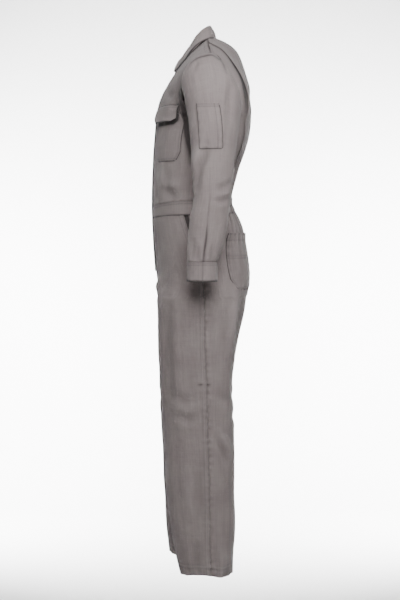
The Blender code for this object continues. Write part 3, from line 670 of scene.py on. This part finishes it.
# Folds of the body: the view they are drawn in, half width, depth (below 0 is a ridge) and
# the points they run through. Drag lines run from the armholes, and the cloth blouses over
# the waistband.
BODY_FOLDS = (
    ("side", 0.011, 0.011, ((-0.075, -0.092), (-0.100, -0.130), (-0.119, -0.170))),
    ("side", 0.010, 0.0085, ((-0.079, -0.118), (-0.094, -0.155), (-0.101, -0.205))),
    ("side", 0.011, -0.0045, ((-0.133, -0.352), (-0.139, -0.385), (-0.141, -0.418))),
    ("side", 0.016, 0.005, ((-0.131, -0.408), (-0.115, -0.430), (-0.082, -0.444))),
    ("side", 0.013, -0.0036, ((-0.136, -0.392), (-0.116, -0.410), (-0.094, -0.416))),
    ("side", 0.010, 0.006, ((-0.045, -0.250), (-0.058, -0.310), (-0.064, -0.385))),
    ("side", 0.009, 0.006, ((0.020, -0.262), (0.030, -0.330), (0.028, -0.405))),
    ("front", 0.012, 0.0035, ((0.150, -0.165), (0.110, -0.150), (0.070, -0.128))),
    ("front", 0.010, 0.0018, ((0.060, -0.382), (0.082, -0.408), (0.088, -0.452))),
    ("front", 0.011, 0.002, ((0.130, -0.362), (0.142, -0.400), (0.144, -0.452))),
    ("back", 0.012, 0.0045, ((0.036, -0.330), (0.044, -0.385), (0.040, -0.432))),
    ("back", 0.011, 0.0055, ((0.086, -0.310), (0.092, -0.370), (0.090, -0.430))),
    ("back", 0.013, 0.0055, ((0.140, -0.290), (0.136, -0.360), (0.132, -0.428))),
    ("back", 0.014, 0.003, ((0.020, -0.060), (0.060, -0.085), (0.112, -0.090))),
    ("back", 0.016, 0.003, ((0.030, -0.130), (0.075, -0.165), (0.125, -0.170))),
)

# The crease between the chest and the front of the sleeve, in deep shade
ARM_SHADE = ((-0.058, -0.066), (-0.068, -0.096), (-0.079, -0.134), (-0.083, -0.155),
             (-0.080, -0.174), (-0.075, -0.196), (-0.0695, -0.225), (-0.067, -0.262),
             (-0.060, -0.310), (-0.055, -0.350))

# The shade under the outer fold of the back
PLEAT_SHADE = ((0.040, -0.038), (0.0533, -0.0525), (0.0715, -0.0791), (0.0869, -0.1085),
               (0.0960, -0.1480), (0.0990, -0.2050))


def put_folds(piece, folds, side, ahead=0.0, lower=0.0, weaker=1.0):
    """Put a table of folds into one side of a piece, moved and weakened as asked."""
    for plane, wide, depth, line in folds:
        moved = [(a - (ahead if plane == "side" else 0), b - lower) for a, b in line]
        piece.fold(plane, side, wide, depth * weaker, moved)


def body_folds(piece):
    """Put the body's folds into a piece, mirrored on the right a little lower and weaker."""
    put_folds(piece, BODY_FOLDS, 1)
    put_folds(piece, BODY_FOLDS, -1, lower=RIGHT_LOWER, weaker=RIGHT_WEAKER)
    piece.slack(*BODY_SLACK)
    piece.slack(0.030, 0.0007, seed=3.0)


thread_rows = []


def stitch(piece, edges, *insets):
    """Rows of top stitching beside some edges."""
    for edge in edges.split():
        for inset in insets:
            piece.groove(edge, inset)
        for inset in insets:
            thread_rows.append(piece.line(edge, inset))


def drawn_fine(points, spacing=0.004):
    """A line through some points, with points at a finer spacing."""
    marks = lengths(points)
    return along(points, marks, np.arange(0, marks[-1], spacing), crisp=True)


# The free edge of the collar, where it is low enough to hang over the fronts
collar_rim = drawn_fine(panel_grid("collar_leaf", 5, (0, 0, -1), NECK, (-1, 0, 0))[:, -1])
collar_rim = collar_rim[collar_rim[:, 2] < -0.035]

for label, side in SIDES:
    front = panel("front_" + label, 9, (side, 0, 0))
    body_folds(front)
    front.fold("side", side, 0.0080, 0.0040, ARM_SHADE, dark=1.7)
    front.shade_beside(collar_rim, 0.006, 0.011, 0.0085, 1.8)
    front.shade_beside(collar_rim, 0.010, 0.020, 0.0220, 0.20)
    over = panel_grid("chest_flap_" + label, 7, (side, 0, 0))
    for edge in (over[:, -1], over[0]):
        front.shade_beside(drawn_fine(edge), 0.013, 0.003, 0.0075, 1.8)
    front.meet("head", dark=0.35)
    front.meet("right", dark=0.6)
    front.meet("foot", dark=0.25)
    front.lap("head", rise=0.0010)
    # A felled ridge round the armhole, drawn paler along its crest, with painted shade in the seam
    # beside it
    armhole = soft_step((front.points[..., 2] + 0.26) / 0.04)
    front.height += 0.0012 * armhole * (1 - soft_step((front.far["right"] - 0.010) / 0.0025))
    front.wear_and_shade += 0.2 * armhole * bell(front.far["right"] - 0.008, 0.0030)
    front.paint_edge_shade("right", 0.9 * armhole, 0.0032)
    front.pucker("right", 0.013, 0.014, 0.0007, 11)
    front.pucker("foot", 0.015, 0.020, 0.0006, 12)
    stitch(front, "head", 0.0016, 0.0080)
    stitch(front, "right", 0.0060)
    front.sew("collar_stand")


# The placket: a folded strip of the same twill down the centre front that hides the zip,
# stitched down along both its edges.

placket = panel("front_placket", 5, (1, 0, 0))
placket.sit("left", 0.0009)
placket.sit("right", 0.0009)
placket.slack(*BODY_SLACK)
placket.pucker("left", 0.016, 0.008, 0.0005, 21)
placket.pucker("right", 0.016, 0.008, 0.0005, 22)
stitch(placket, "left right", 0.0022, 0.0092)
placket.sew("front_left", "front_right")


# The back: a centre panel whose long outer folds stand open over the side backs, so that
# the wearer can reach forward. Both are twill, pressed along the fold and free to move.

back = panel("centre_back", 11, (1, 0, 0))
body_folds(back)
back.meet("head", "foot")
back.lap("head", rise=0.0010)
for edge in ("left", "right"):
    back.lap(edge, wide=0.0030, rise=0.0005)
stitch(back, "head", 0.0016, 0.0080)
back.sew("collar_stand")

for label, side in SIDES:
    part = panel("side_back_" + label, 6, (side, 0, 0))
    body_folds(part)
    part.meet("head", "right", "foot")
    # Painted shade along the edge that the back's outer fold stands over
    part.paint_edge_shade("right", 0.8, 0.0032)
    part.fold("side", side, 0.0055, 0.0010, PLEAT_SHADE, dark=1.5)
    part.pucker("right", 0.013, 0.014, 0.0007, 31)
    stitch(part, "head", 0.0060)
    part.sew("front_" + label)


# The waistband: a flat band in front with a row of stitching along each edge, and behind
# it a band of elastic sewn inside doubled twill, which gathers the back.

GATHER_PITCH = 0.008
WAIST_RADIUS = 0.16
HALF_BAND = 0.016         # half the height over which the gathers are at their fullest


def gathers(piece, z, reach, depth):
    """The upright gathers of the elastic, in the piece and fading away from the band, with painted
    highlight on their crests and painted shade between them.
    """
    p = piece.points
    fade = np.exp(-(np.maximum(np.abs(p[..., 2] - z) - HALF_BAND, 0) / reach) ** 1.4)
    seen = np.clip(piece.normals[..., 1] * 2 + 0.9, 0, 1)
    round_it = np.arctan2(p[..., 0], p[..., 1] - TRUNK[1]) * WAIST_RADIUS
    spots = np.stack([round_it / GATHER_PITCH, p[..., 2] / 0.13], axis=-1).reshape(-1, 2)
    wave = np.array([noise.noise(Vector((a, 3.1, h))) for a, h in spots])
    wave = wave.reshape(p.shape[:2]) * 2.0 * fade * seen
    piece.height += depth * wave
    piece.wear_and_shade += 0.50 * wave


for label, side in SIDES:
    band = panel("waistband_front_" + label, 9, (side, 0, 0))
    band.slack(*BODY_SLACK)
    band.pucker("head", 0.012, 0.010, 0.0006, 41)
    band.meet("head", "right", dark=0.12)
    band.meet("foot", dark=0.75)
    band.height += 0.0012
    stitch(band, "head", 0.0018, 0.0075)
    stitch(band, "foot", 0.0022)
    band.sew("front_" + label)

elastic = panel("waistband_back", 17, (1, 0, 0))
elastic.slack(*BODY_SLACK)
gathers(elastic, -0.46, 0.02, 0.0032)
elastic.meet("head", "left", "right", "foot")
stitch(elastic, "head", 0.0020, 0.0200)
stitch(elastic, "foot", 0.0020)
elastic.sew("centre_back", held="gathered")


# The trousers: a front and a back to each leg, joined by a felled seam down the outside
# and the inside, with a turned hem stitched twice round.

# Folds of the legs and of the seat, in the same columns as the body's
LEG_FOLDS = (
    ("side", 0.012, -0.006, ((0.030, -1.104), (0.045, -1.140), (0.059, -1.174))),
    ("side", 0.010, 0.0055, ((0.020, -1.112), (0.034, -1.150), (0.050, -1.190))),
    ("side", 0.011, -0.0068, ((0.073, -0.705), (0.067, -0.790), (0.060, -0.880))),
    ("side", 0.009, 0.0064, ((0.088, -0.715), (0.080, -0.800), (0.070, -0.872))),
    ("side", 0.015, 0.0052, ((-0.125, -0.690), (-0.120, -0.850), (-0.113, -1.110))),
    ("side", 0.015, 0.0035, ((-0.112, -0.990), (-0.078, -1.012), (-0.035, -1.004))),
    ("side", 0.013, 0.0035, ((-0.098, -1.052), (-0.062, -1.066), (-0.030, -1.052))),
    ("side", 0.013, 0.003, ((0.020, -0.985), (0.042, -1.010), (0.056, -1.015))),
    ("side", 0.013, 0.0042, ((-0.045, -1.405), (-0.040, -1.455), (-0.044, -1.508))),
    ("side", 0.014, -0.004, ((0.030, -1.420), (0.034, -1.465), (0.034, -1.508))),
    ("side", 0.016, 0.0035, ((-0.086, -0.560), (-0.078, -0.640), (-0.083, -0.720))),
    ("side", 0.014, -0.003, ((-0.060, -1.180), (-0.064, -1.260), (-0.058, -1.340))),
    ("side", 0.014, 0.003, ((-0.030, -1.200), (-0.036, -1.280), (-0.026, -1.370))),
    ("front", 0.014, 0.004, ((0.018, -0.694), (0.055, -0.676), (0.092, -0.656))),
    ("front", 0.013, 0.0042, ((0.020, -0.724), (0.058, -0.727), (0.096, -0.716))),
    ("front", 0.013, 0.003, ((0.032, -0.768), (0.064, -0.784), (0.095, -0.792))),
    ("front", 0.012, 0.0035, ((0.060, -0.520), (0.066, -0.560), (0.064, -0.610))),
    ("front", 0.016, 0.0024, ((0.070, -1.020), (0.115, -1.035), (0.160, -1.018))),
    ("back", 0.014, 0.0042, ((0.022, -0.722), (0.062, -0.738), (0.104, -0.732))),
    ("back", 0.013, 0.004, ((0.030, -0.762), (0.068, -0.782), (0.104, -0.780))),
    ("back", 0.013, 0.003, ((0.040, -0.820), (0.072, -0.842), (0.104, -0.842))),
    ("back", 0.012, 0.0024, ((0.060, -0.985), (0.105, -1.010), (0.160, -0.992))),
    ("back", 0.012, 0.0028, ((0.058, -1.050), (0.110, -1.070), (0.165, -1.046))),
)
LEG_MIDDLE = 0.115
LEG_SLACK = (0.085, 0.0030)
SEAT_GATHERS = (-0.475, 0.110, 0.0030)        # height, reach and depth
HEM_DROP = 0.007          # how far the hem dips in front and behind
# Two short tacks beside the outer seam at the knee, and the edge of the fly, each pressed in as a small
# dent with painted shade along it
KNEE_TACKS = (((-0.036, -0.965), (-0.028, -0.968), (-0.020, -0.965)),
              ((-0.013, -0.966), (-0.006, -0.968), (0.000, -0.966)))
FLY_EDGE = ((0.034, -0.485), (0.033, -0.560), (0.030, -0.622), (0.016, -0.660), (0.002, -0.672))
MOUTH_OVER = 0.012        # how far the pocket mouth laps back over its facing
FACING_TUCK = 0.034       # how much of the facing the trouser front hides


def leg_folds(piece, side):
    """Put the trousers' folds and slack into a piece of one leg."""
    put_folds(piece, LEG_FOLDS, side, ahead=0.012 if side < 0 else 0)
    piece.slack(*LEG_SLACK, seed=7.0 + side)
    piece.slack(0.032, 0.0008, seed=9.0)


for label, side in SIDES:
    middle = (side * LEG_MIDDLE, TRUNK[1])
    for face, waist in (("front", "waistband_front_" + label), ("back", "waistband_back")):
        leg = panel("trouser_" + face + "_" + label, 9, (side, 0, 0), middle, step=0.0043)
        leg_folds(leg, side)
        for line in KNEE_TACKS:
            leg.fold("side", side, 0.0028, 0.0012, line, dark=0.8)
        if face == "back":
            gathers(leg, *SEAT_GATHERS)
            leg.pucker("right", 0.010, 0.010, 0.0010, 51)
        else:
            leg.pucker("right", 0.009, 0.011, 0.0010, 52)
        leg.meet("right", dark=0.12)
        leg.meet("left", "head", dark=0.3)
        if face == "front":
            leg.lap("right", wide=0.0100, rise=0.0010)
            leg.lap("left", wide=0.0090, rise=0.0008)
            above = soft_step((leg.points[..., 2] + 0.66) / 0.07)
            leg.let_out(MOUTH_OVER * above * bell(leg.far["right"], 0.05))
            if side > 0:
                leg.fold("front", side, 0.0030, 0.0012, FLY_EDGE, dark=0.6)
            stitch(leg, "right", 0.0018, 0.0085)
            stitch(leg, "left", 0.0018, 0.0080)
        leg.lap("foot", wide=0.0280, rise=0.0006)
        leg.pucker("foot", 0.015, 0.024, 0.0014, 57)
        lowest = bell(leg.points[..., 1] - 0.033, 0.030)
        lowest += 0.9 * bell(leg.points[..., 1] + 0.078, 0.034)
        leg.points[..., 2] -= HEM_DROP * lowest * np.exp(-leg.far["foot"] / 0.05)
        stitch(leg, "foot", 0.0225, 0.0275)
        leg.sew(waist)


# The side pocket mouths: a slanted edge on each trouser front, and the facing that shows
# behind it down to the side seam.

for label, side in SIDES:
    middle = (side * LEG_MIDDLE, TRUNK[1])
    facing = panel("side_pocket_facing_" + label, 4, (side, 0, 0), middle)
    facing.slack(*LEG_SLACK, seed=7.0 + side)
    facing.height -= 0.0006
    # Painted shade inside the pocket mouth, just behind the trouser front's edge
    facing.wear_and_shade -= 1.9 * bell(facing.far["left"] - FACING_TUCK, 0.0062)
    facing.sew("waistband_front_" + label)


# The sleeves: one tube of twill each, set into the armhole with its seam felled towards
# the sleeve. The elbow is creased and the cloth is eased into the head.

SLEEVE_MIDDLE = 0.27


def tube_grid(cad, middle):
    """The frame's points for a tube, from its top ring down, starting at its outer line."""
    points, faces = triangles_of(cad, middle)
    rims = rims_of(faces)
    top = max(rims, key=lambda rim: sum(points[p][2] for p in rim))
    outer = max(range(len(top)), key=lambda k: abs(points[top[k]][0]) + points[top[k]][2])
    ring = top[outer:] + top[:outer]
    if points[ring[1]][1] < points[ring[-1]][1]:
        ring = ring[:1] + ring[:0:-1]
    ring.append(ring[0])
    bottom = set(min(rims, key=lambda rim: sum(points[p][2] for p in rim)))

    def next_start(above, used, _count):
        """The point straight below the first point of a ring."""
        if above[0] in bottom:
            return None
        ways = set()
        for face in faces:
            if above[0] in face and face not in used:
                ways |= set(face) - set(above)
        return min(ways, key=lambda p: norm(points[p] - points[above[0]]))

    woven = weave_rows(points, faces, ring, next_start)
    return np.array([[points[p] for p in row] for row in woven])[::-1]


# Folds of a sleeve at its head, its elbow and above its cuff, in the same columns
SLEEVE_FOLDS = (
    ("side", 0.010, 0.007, ((-0.012, -0.306), (-0.019, -0.345), (-0.032, -0.366),
                              (-0.038, -0.400), (-0.044, -0.440))),
    ("side", 0.011, -0.0045, ((-0.030, -0.300), (-0.045, -0.350), (-0.050, -0.400))),
    ("side", 0.006, 0.0024, ((-0.037, -0.074), (-0.044, -0.092), (-0.050, -0.110))),
    ("side", 0.009, 0.0034, ((0.062, -0.396), (0.036, -0.420), (0.010, -0.424))),
    ("side", 0.008, 0.003, ((0.056, -0.446), (0.028, -0.458), (0.004, -0.452))),
    ("side", 0.009, 0.0036, ((0.056, -0.130), (0.046, -0.195), (0.046, -0.262))),
    ("side", 0.008, 0.0034, ((-0.052, -0.548), (-0.048, -0.586), (-0.046, -0.622))),
    ("side", 0.006, 0.003, ((-0.034, -0.575), (-0.036, -0.600), (-0.035, -0.622))),
    ("side", 0.006, 0.003, ((0.008, -0.568), (0.004, -0.596), (0.003, -0.622))),
    ("back", 0.010, 0.004, ((0.232, -0.330), (0.258, -0.352), (0.280, -0.345))),
    ("back", 0.010, 0.004, ((0.232, -0.400), (0.258, -0.412), (0.282, -0.400))),
    ("front", 0.010, 0.0036, ((0.230, -0.402), (0.252, -0.432), (0.276, -0.440))),
    ("front", 0.010, 0.0036, ((0.232, -0.452), (0.254, -0.470), (0.278, -0.480))),
    ("front", 0.010, 0.003, ((0.230, -0.350), (0.250, -0.372), (0.272, -0.372))),
)
# The seam of the sleeve's head, and the vent that runs up from the cuff
HEAD_SEAM = ((-0.0620, -0.0960), (-0.0543, -0.0790), (-0.0390, -0.0665), (-0.0154, -0.0600),
             (0.0068, -0.0575), (0.0194, -0.0665), (0.0319, -0.0780), (0.0374, -0.0940),
             (0.0430, -0.1120))
VENT = ((-0.002, -0.420), (-0.005, -0.4675), (-0.0104, -0.5215), (-0.0131, -0.562),
        (-0.0171, -0.589), (-0.0212, -0.640))


def sleeve_folds(piece, side):
    """Put one sleeve's folds and slack into a piece."""
    put_folds(piece, SLEEVE_FOLDS, side, lower=0.010 if side < 0 else 0)
    piece.slack(0.060, 0.0020, seed=12.0 + side)
    piece.slack(0.026, 0.0006, seed=14.0)


for label, side in SIDES:
    middle = (side * SLEEVE_MIDDLE, 0.0)
    name = "sleeve_" + label
    sleeve = Cut(name, tube_grid(name, middle), middle, closed=True)
    sleeve_folds(sleeve, side)
    bow = bell(sleeve.points[..., 2] + 0.190, 0.055)
    sleeve.height -= 0.009 * bow * np.clip(-sleeve.normals[..., 1], 0, 1)
    # Painted shade along the seam of the sleeve's head and in the vent
    sleeve.fold("side", side, 0.0030, 0.0014, HEAD_SEAM, dark=0.9)
    sleeve.fold("side", side, 0.0022, 0.0015, VENT, dark=0.45)
    sleeve.fold("side", side, 0.0035, 0.0018, VENT[2:], dark=0.65)
    sleeve.pucker("head", 0.012, 0.020, 0.0010, 61)
    sleeve.meet("head", dark=0.7)
    sleeve.meet("foot", dark=0.3)
    # Painted shade along the head seam, deepest at the front where the sleeve meets the chest
    sleeve.paint_edge_shade("head", 0.45, 0.0045)
    ahead = soft_step((-0.050 - sleeve.points[..., 1]) / 0.015)
    sleeve.paint_edge_shade("head", 1.3 * ahead, 0.0060)
    sleeve.pucker("foot", 0.012, 0.016, 0.0007, 62)
    stitch(sleeve, "head", 0.0020, 0.0092)
    sleeve.sew("front_" + label, "side_back_" + label)


# The cuffs: doubled twill bands, lapped at the outside of the wrist and stitched twice
# along the top.

for label, side in SIDES:
    cuff = panel("cuff_" + label, 23, (0, 1, 0), (side * 0.28, -0.024), step=0.0028)
    cuff.slack(0.060, 0.0016, seed=12.0 + side)
    cuff.pucker("foot", 0.020, 0.020, 0.0010, 71)
    cuff.meet("head", dark=0.2)
    # Painted shade along the cuff's lower edge, where its inside is in shadow
    cuff.paint_edge_shade("foot", 1.7, 0.0042)
    stitch(cuff, "head", 0.0030, 0.0082)
    stitch(cuff, "foot", 0.0035)
    stitch(cuff, "left right", 0.0025)
    cuff.sew("sleeve_" + label, thick=0.0013)


# The collar: a stand round the neck, and a pointed leaf of two layers that turns down
# over it, stitched along its free edge.

stand = panel("collar_stand", 3, (0, 0, 1), NECK, (-1, 0, 0), step=0.0026)
stand.sew("front_left", "front_right")

leaf = panel("collar_leaf", 5, (0, 0, -1), NECK, (-1, 0, 0), step=0.0024)
ends = np.minimum(leaf.far["foot"], leaf.far["head"])
over = 0.0085 * soft_step(ends / 0.05) * bell(leaf.far["right"], 0.025)
leaf.let_out(over)
leaf.height += 0.25 * over
leaf.slack(0.050, 0.0016, seed=17.0)
leaf.pucker("right", 0.018, 0.010, 0.0006, 81)
# Painted shadow along the collar's free edge
leaf.paint_edge_shade("right", 1.6, 0.0030)
stitch(leaf, "right foot head", 0.0030)
leaf.sew("collar_stand", thick=0.0020, held="folded")


# The chest pockets: patches with clipped lower corners, each under a flap of two layers
# with clipped corners that stands off it at its foot.

def let_down(patch, drop, *gather):
    """Sew the sides and foot of a patch down, which puckers them a little, with painted shade along
    them.
    """
    for edge in ("left", "right", "foot"):
        patch.sit(edge, drop)
        patch.pucker(edge, *gather)


for label, side in SIDES:
    flap = panel("chest_flap_" + label, 7, (side, 0, 0), step=0.0022, crisp=True)
    body_folds(flap)
    pocket = panel("chest_pocket_" + label, 7, (side, 0, 0), step=0.0026, crisp=True)
    body_folds(pocket)
    pocket.slack(0.040, 0.0014, seed=20.0)
    shade = np.concatenate([flap.points[0], flap.points[:, 0], flap.points[:, -1]])
    pocket.shade_beside(shade, 0.013, 0.002, 0.0060, 2.0)
    let_down(pocket, 0.0018, 0.012, 0.010, 0.0007, 91)
    stitch(pocket, "left right foot", *TWIN_ROWS)
    stitch(pocket, "head", 0.0200)
    pocket.sew("front_" + label)
    flap.sit("head", 0.0030, 0.006)
    # Painted shade along the flap's edges, deepest at its foot where it stands off the pocket
    for edge, reach in (("left", 0.0020), ("right", 0.0020), ("foot", 0.0034)):
        flap.paint_edge_shade(edge, 1.6, reach)
    flap.pucker("foot", 0.022, 0.018, 0.0012, 93)
    stitch(flap, "head", *TWIN_ROWS)
    stitch(flap, "foot left right", 0.0030)
    flap.sew("chest_pocket_" + label, thick=0.0013)


# The pen pocket: a narrow patch on the left sleeve with a row of stitching that parts
# off a slot for a pen.

pen = panel("sleeve_pocket", 5, (0, 1, 0), (SLEEVE_MIDDLE, 0.0), step=0.0022, crisp=True)
sleeve_folds(pen, 1)
let_down(pen, 0.0012, 0.012, 0.008, 0.0005, 95)
stitch(pen, "left", 0.0020)
stitch(pen, "right", 0.0020, 0.0150)
stitch(pen, "foot", 0.0020)
stitch(pen, "head", 0.0030, 0.0090)
pen.sew("sleeve_left")


# The back pockets: wide patches with clipped lower corners and two rows of stitching
# across them below the opening.

for label, side in SIDES:
    middle = (side * LEG_MIDDLE, TRUNK[1])
    pocket = panel("back_pocket_" + label, 7, (side, 0, 0), middle, crisp=True)
    leg_folds(pocket, side)
    gathers(pocket, *SEAT_GATHERS)
    pocket.height += 0.0035 * bell(pocket.far["head"], 0.014)
    let_down(pocket, 0.0018, 0.011, 0.012, 0.0010, 97)
    stitch(pocket, "left right foot", *TWIN_ROWS)
    stitch(pocket, "head", 0.0030, 0.0200)
    stitch(pocket, "head", 0.0640, 0.0710)
    pocket.sew("trouser_back_" + label)


# The sewing: core-spun polyester thread in the cloth's grey, 3 stitches to the centimetre,
# laid in the rows that each piece asked for.

STITCH_PITCH = 0.0034
STITCH_LONG = 0.0027
STITCH_WIDE = 0.0007
STITCH_HIGH = 0.0005
STITCH_LIFT = 0.0001      # how far a stitch's middle stands off the cloth
NEARBY = 0.001            # how far before and after a stitch its row's way is read


def make_thread():
    """Spun polyester thread: a little smoother than the cloth, two twisted plies."""
    material, tree, shader = new_material("spun_polyester_thread")
    place = add_node(tree, "TexCoord")
    plies = add_node(
        tree, "TexNoise", inputs={"Scale": 900.0, "Detail": 2.0},
        links={"Vector": place.outputs["Object"]})
    dye = add_node(tree, "ValToRGB", links={"Fac": plies.outputs["Fac"]})
    dye.color_ramp.elements[0].color = paint("767072")
    dye.color_ramp.elements[1].color = paint("A19B9D")
    tree.links.new(dye.outputs["Color"], shader.inputs["Base Color"])
    shader.inputs["Roughness"].default_value = 0.6
    twist = add_node(
        tree, "Bump", inputs={"Strength": 0.3, "Distance": 0.0002},
        links={"Height": plies.outputs["Fac"]})
    tree.links.new(twist.outputs["Normal"], shader.inputs["Normal"])
    return material


def stitches_on(row):
    """Where each stitch of a row lies: its middle, its way along and its way out."""
    marks = lengths(row[:, :3])
    at = (np.arange(int(marks[-1] / STITCH_PITCH)) + 0.5) * STITCH_PITCH
    before, here, after = [
        np.stack([np.interp(at + by, marks, values) for values in row.T], axis=1)
        for by in (-NEARBY, 0, NEARBY)]
    way, out = (after - before)[:, :3], here[:, 3:]
    way /= np.maximum(norm(way, axis=1, keepdims=True), 1e-9)
    out /= np.maximum(norm(out, axis=1, keepdims=True), 1e-9)
    return zip(here[:, :3], way, out)


def make_stitching(rows, material):
    """All the stitches of some rows as one mesh of slim grains with three sides."""
    verts, faces = [], []
    for row in rows:
        for middle, way, out in stitches_on(row):
            over = np.cross(out, way)
            base = len(verts)
            centre = middle + out * STITCH_LIFT
            verts.append(centre - way * STITCH_LONG / 2)
            for share in (-0.25, 0.25):
                for a, b in ((1, -0.5), (0, 1), (-1, -0.5)):
                    verts.append(centre + way * STITCH_LONG * share
                                 + over * a * STITCH_WIDE / 2 + out * b * STITCH_HIGH / 2)
            verts.append(centre + way * STITCH_LONG / 2)
            for k in range(3):
                n = (k + 1) % 3
                faces.append((base, base + 1 + n, base + 1 + k))
                faces.append((base + 1 + k, base + 1 + n, base + 4 + n, base + 4 + k))
                faces.append((base + 7, base + 4 + k, base + 4 + n))
    data = bpy.data.meshes.new("sewing_thread")
    data.from_pydata([tuple(v) for v in verts], [], faces)
    data.shade_smooth()
    data.materials.append(material)
    piece = add_object("sewing_thread", data)
    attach(piece, "root")


make_stitching(thread_rows, make_thread())
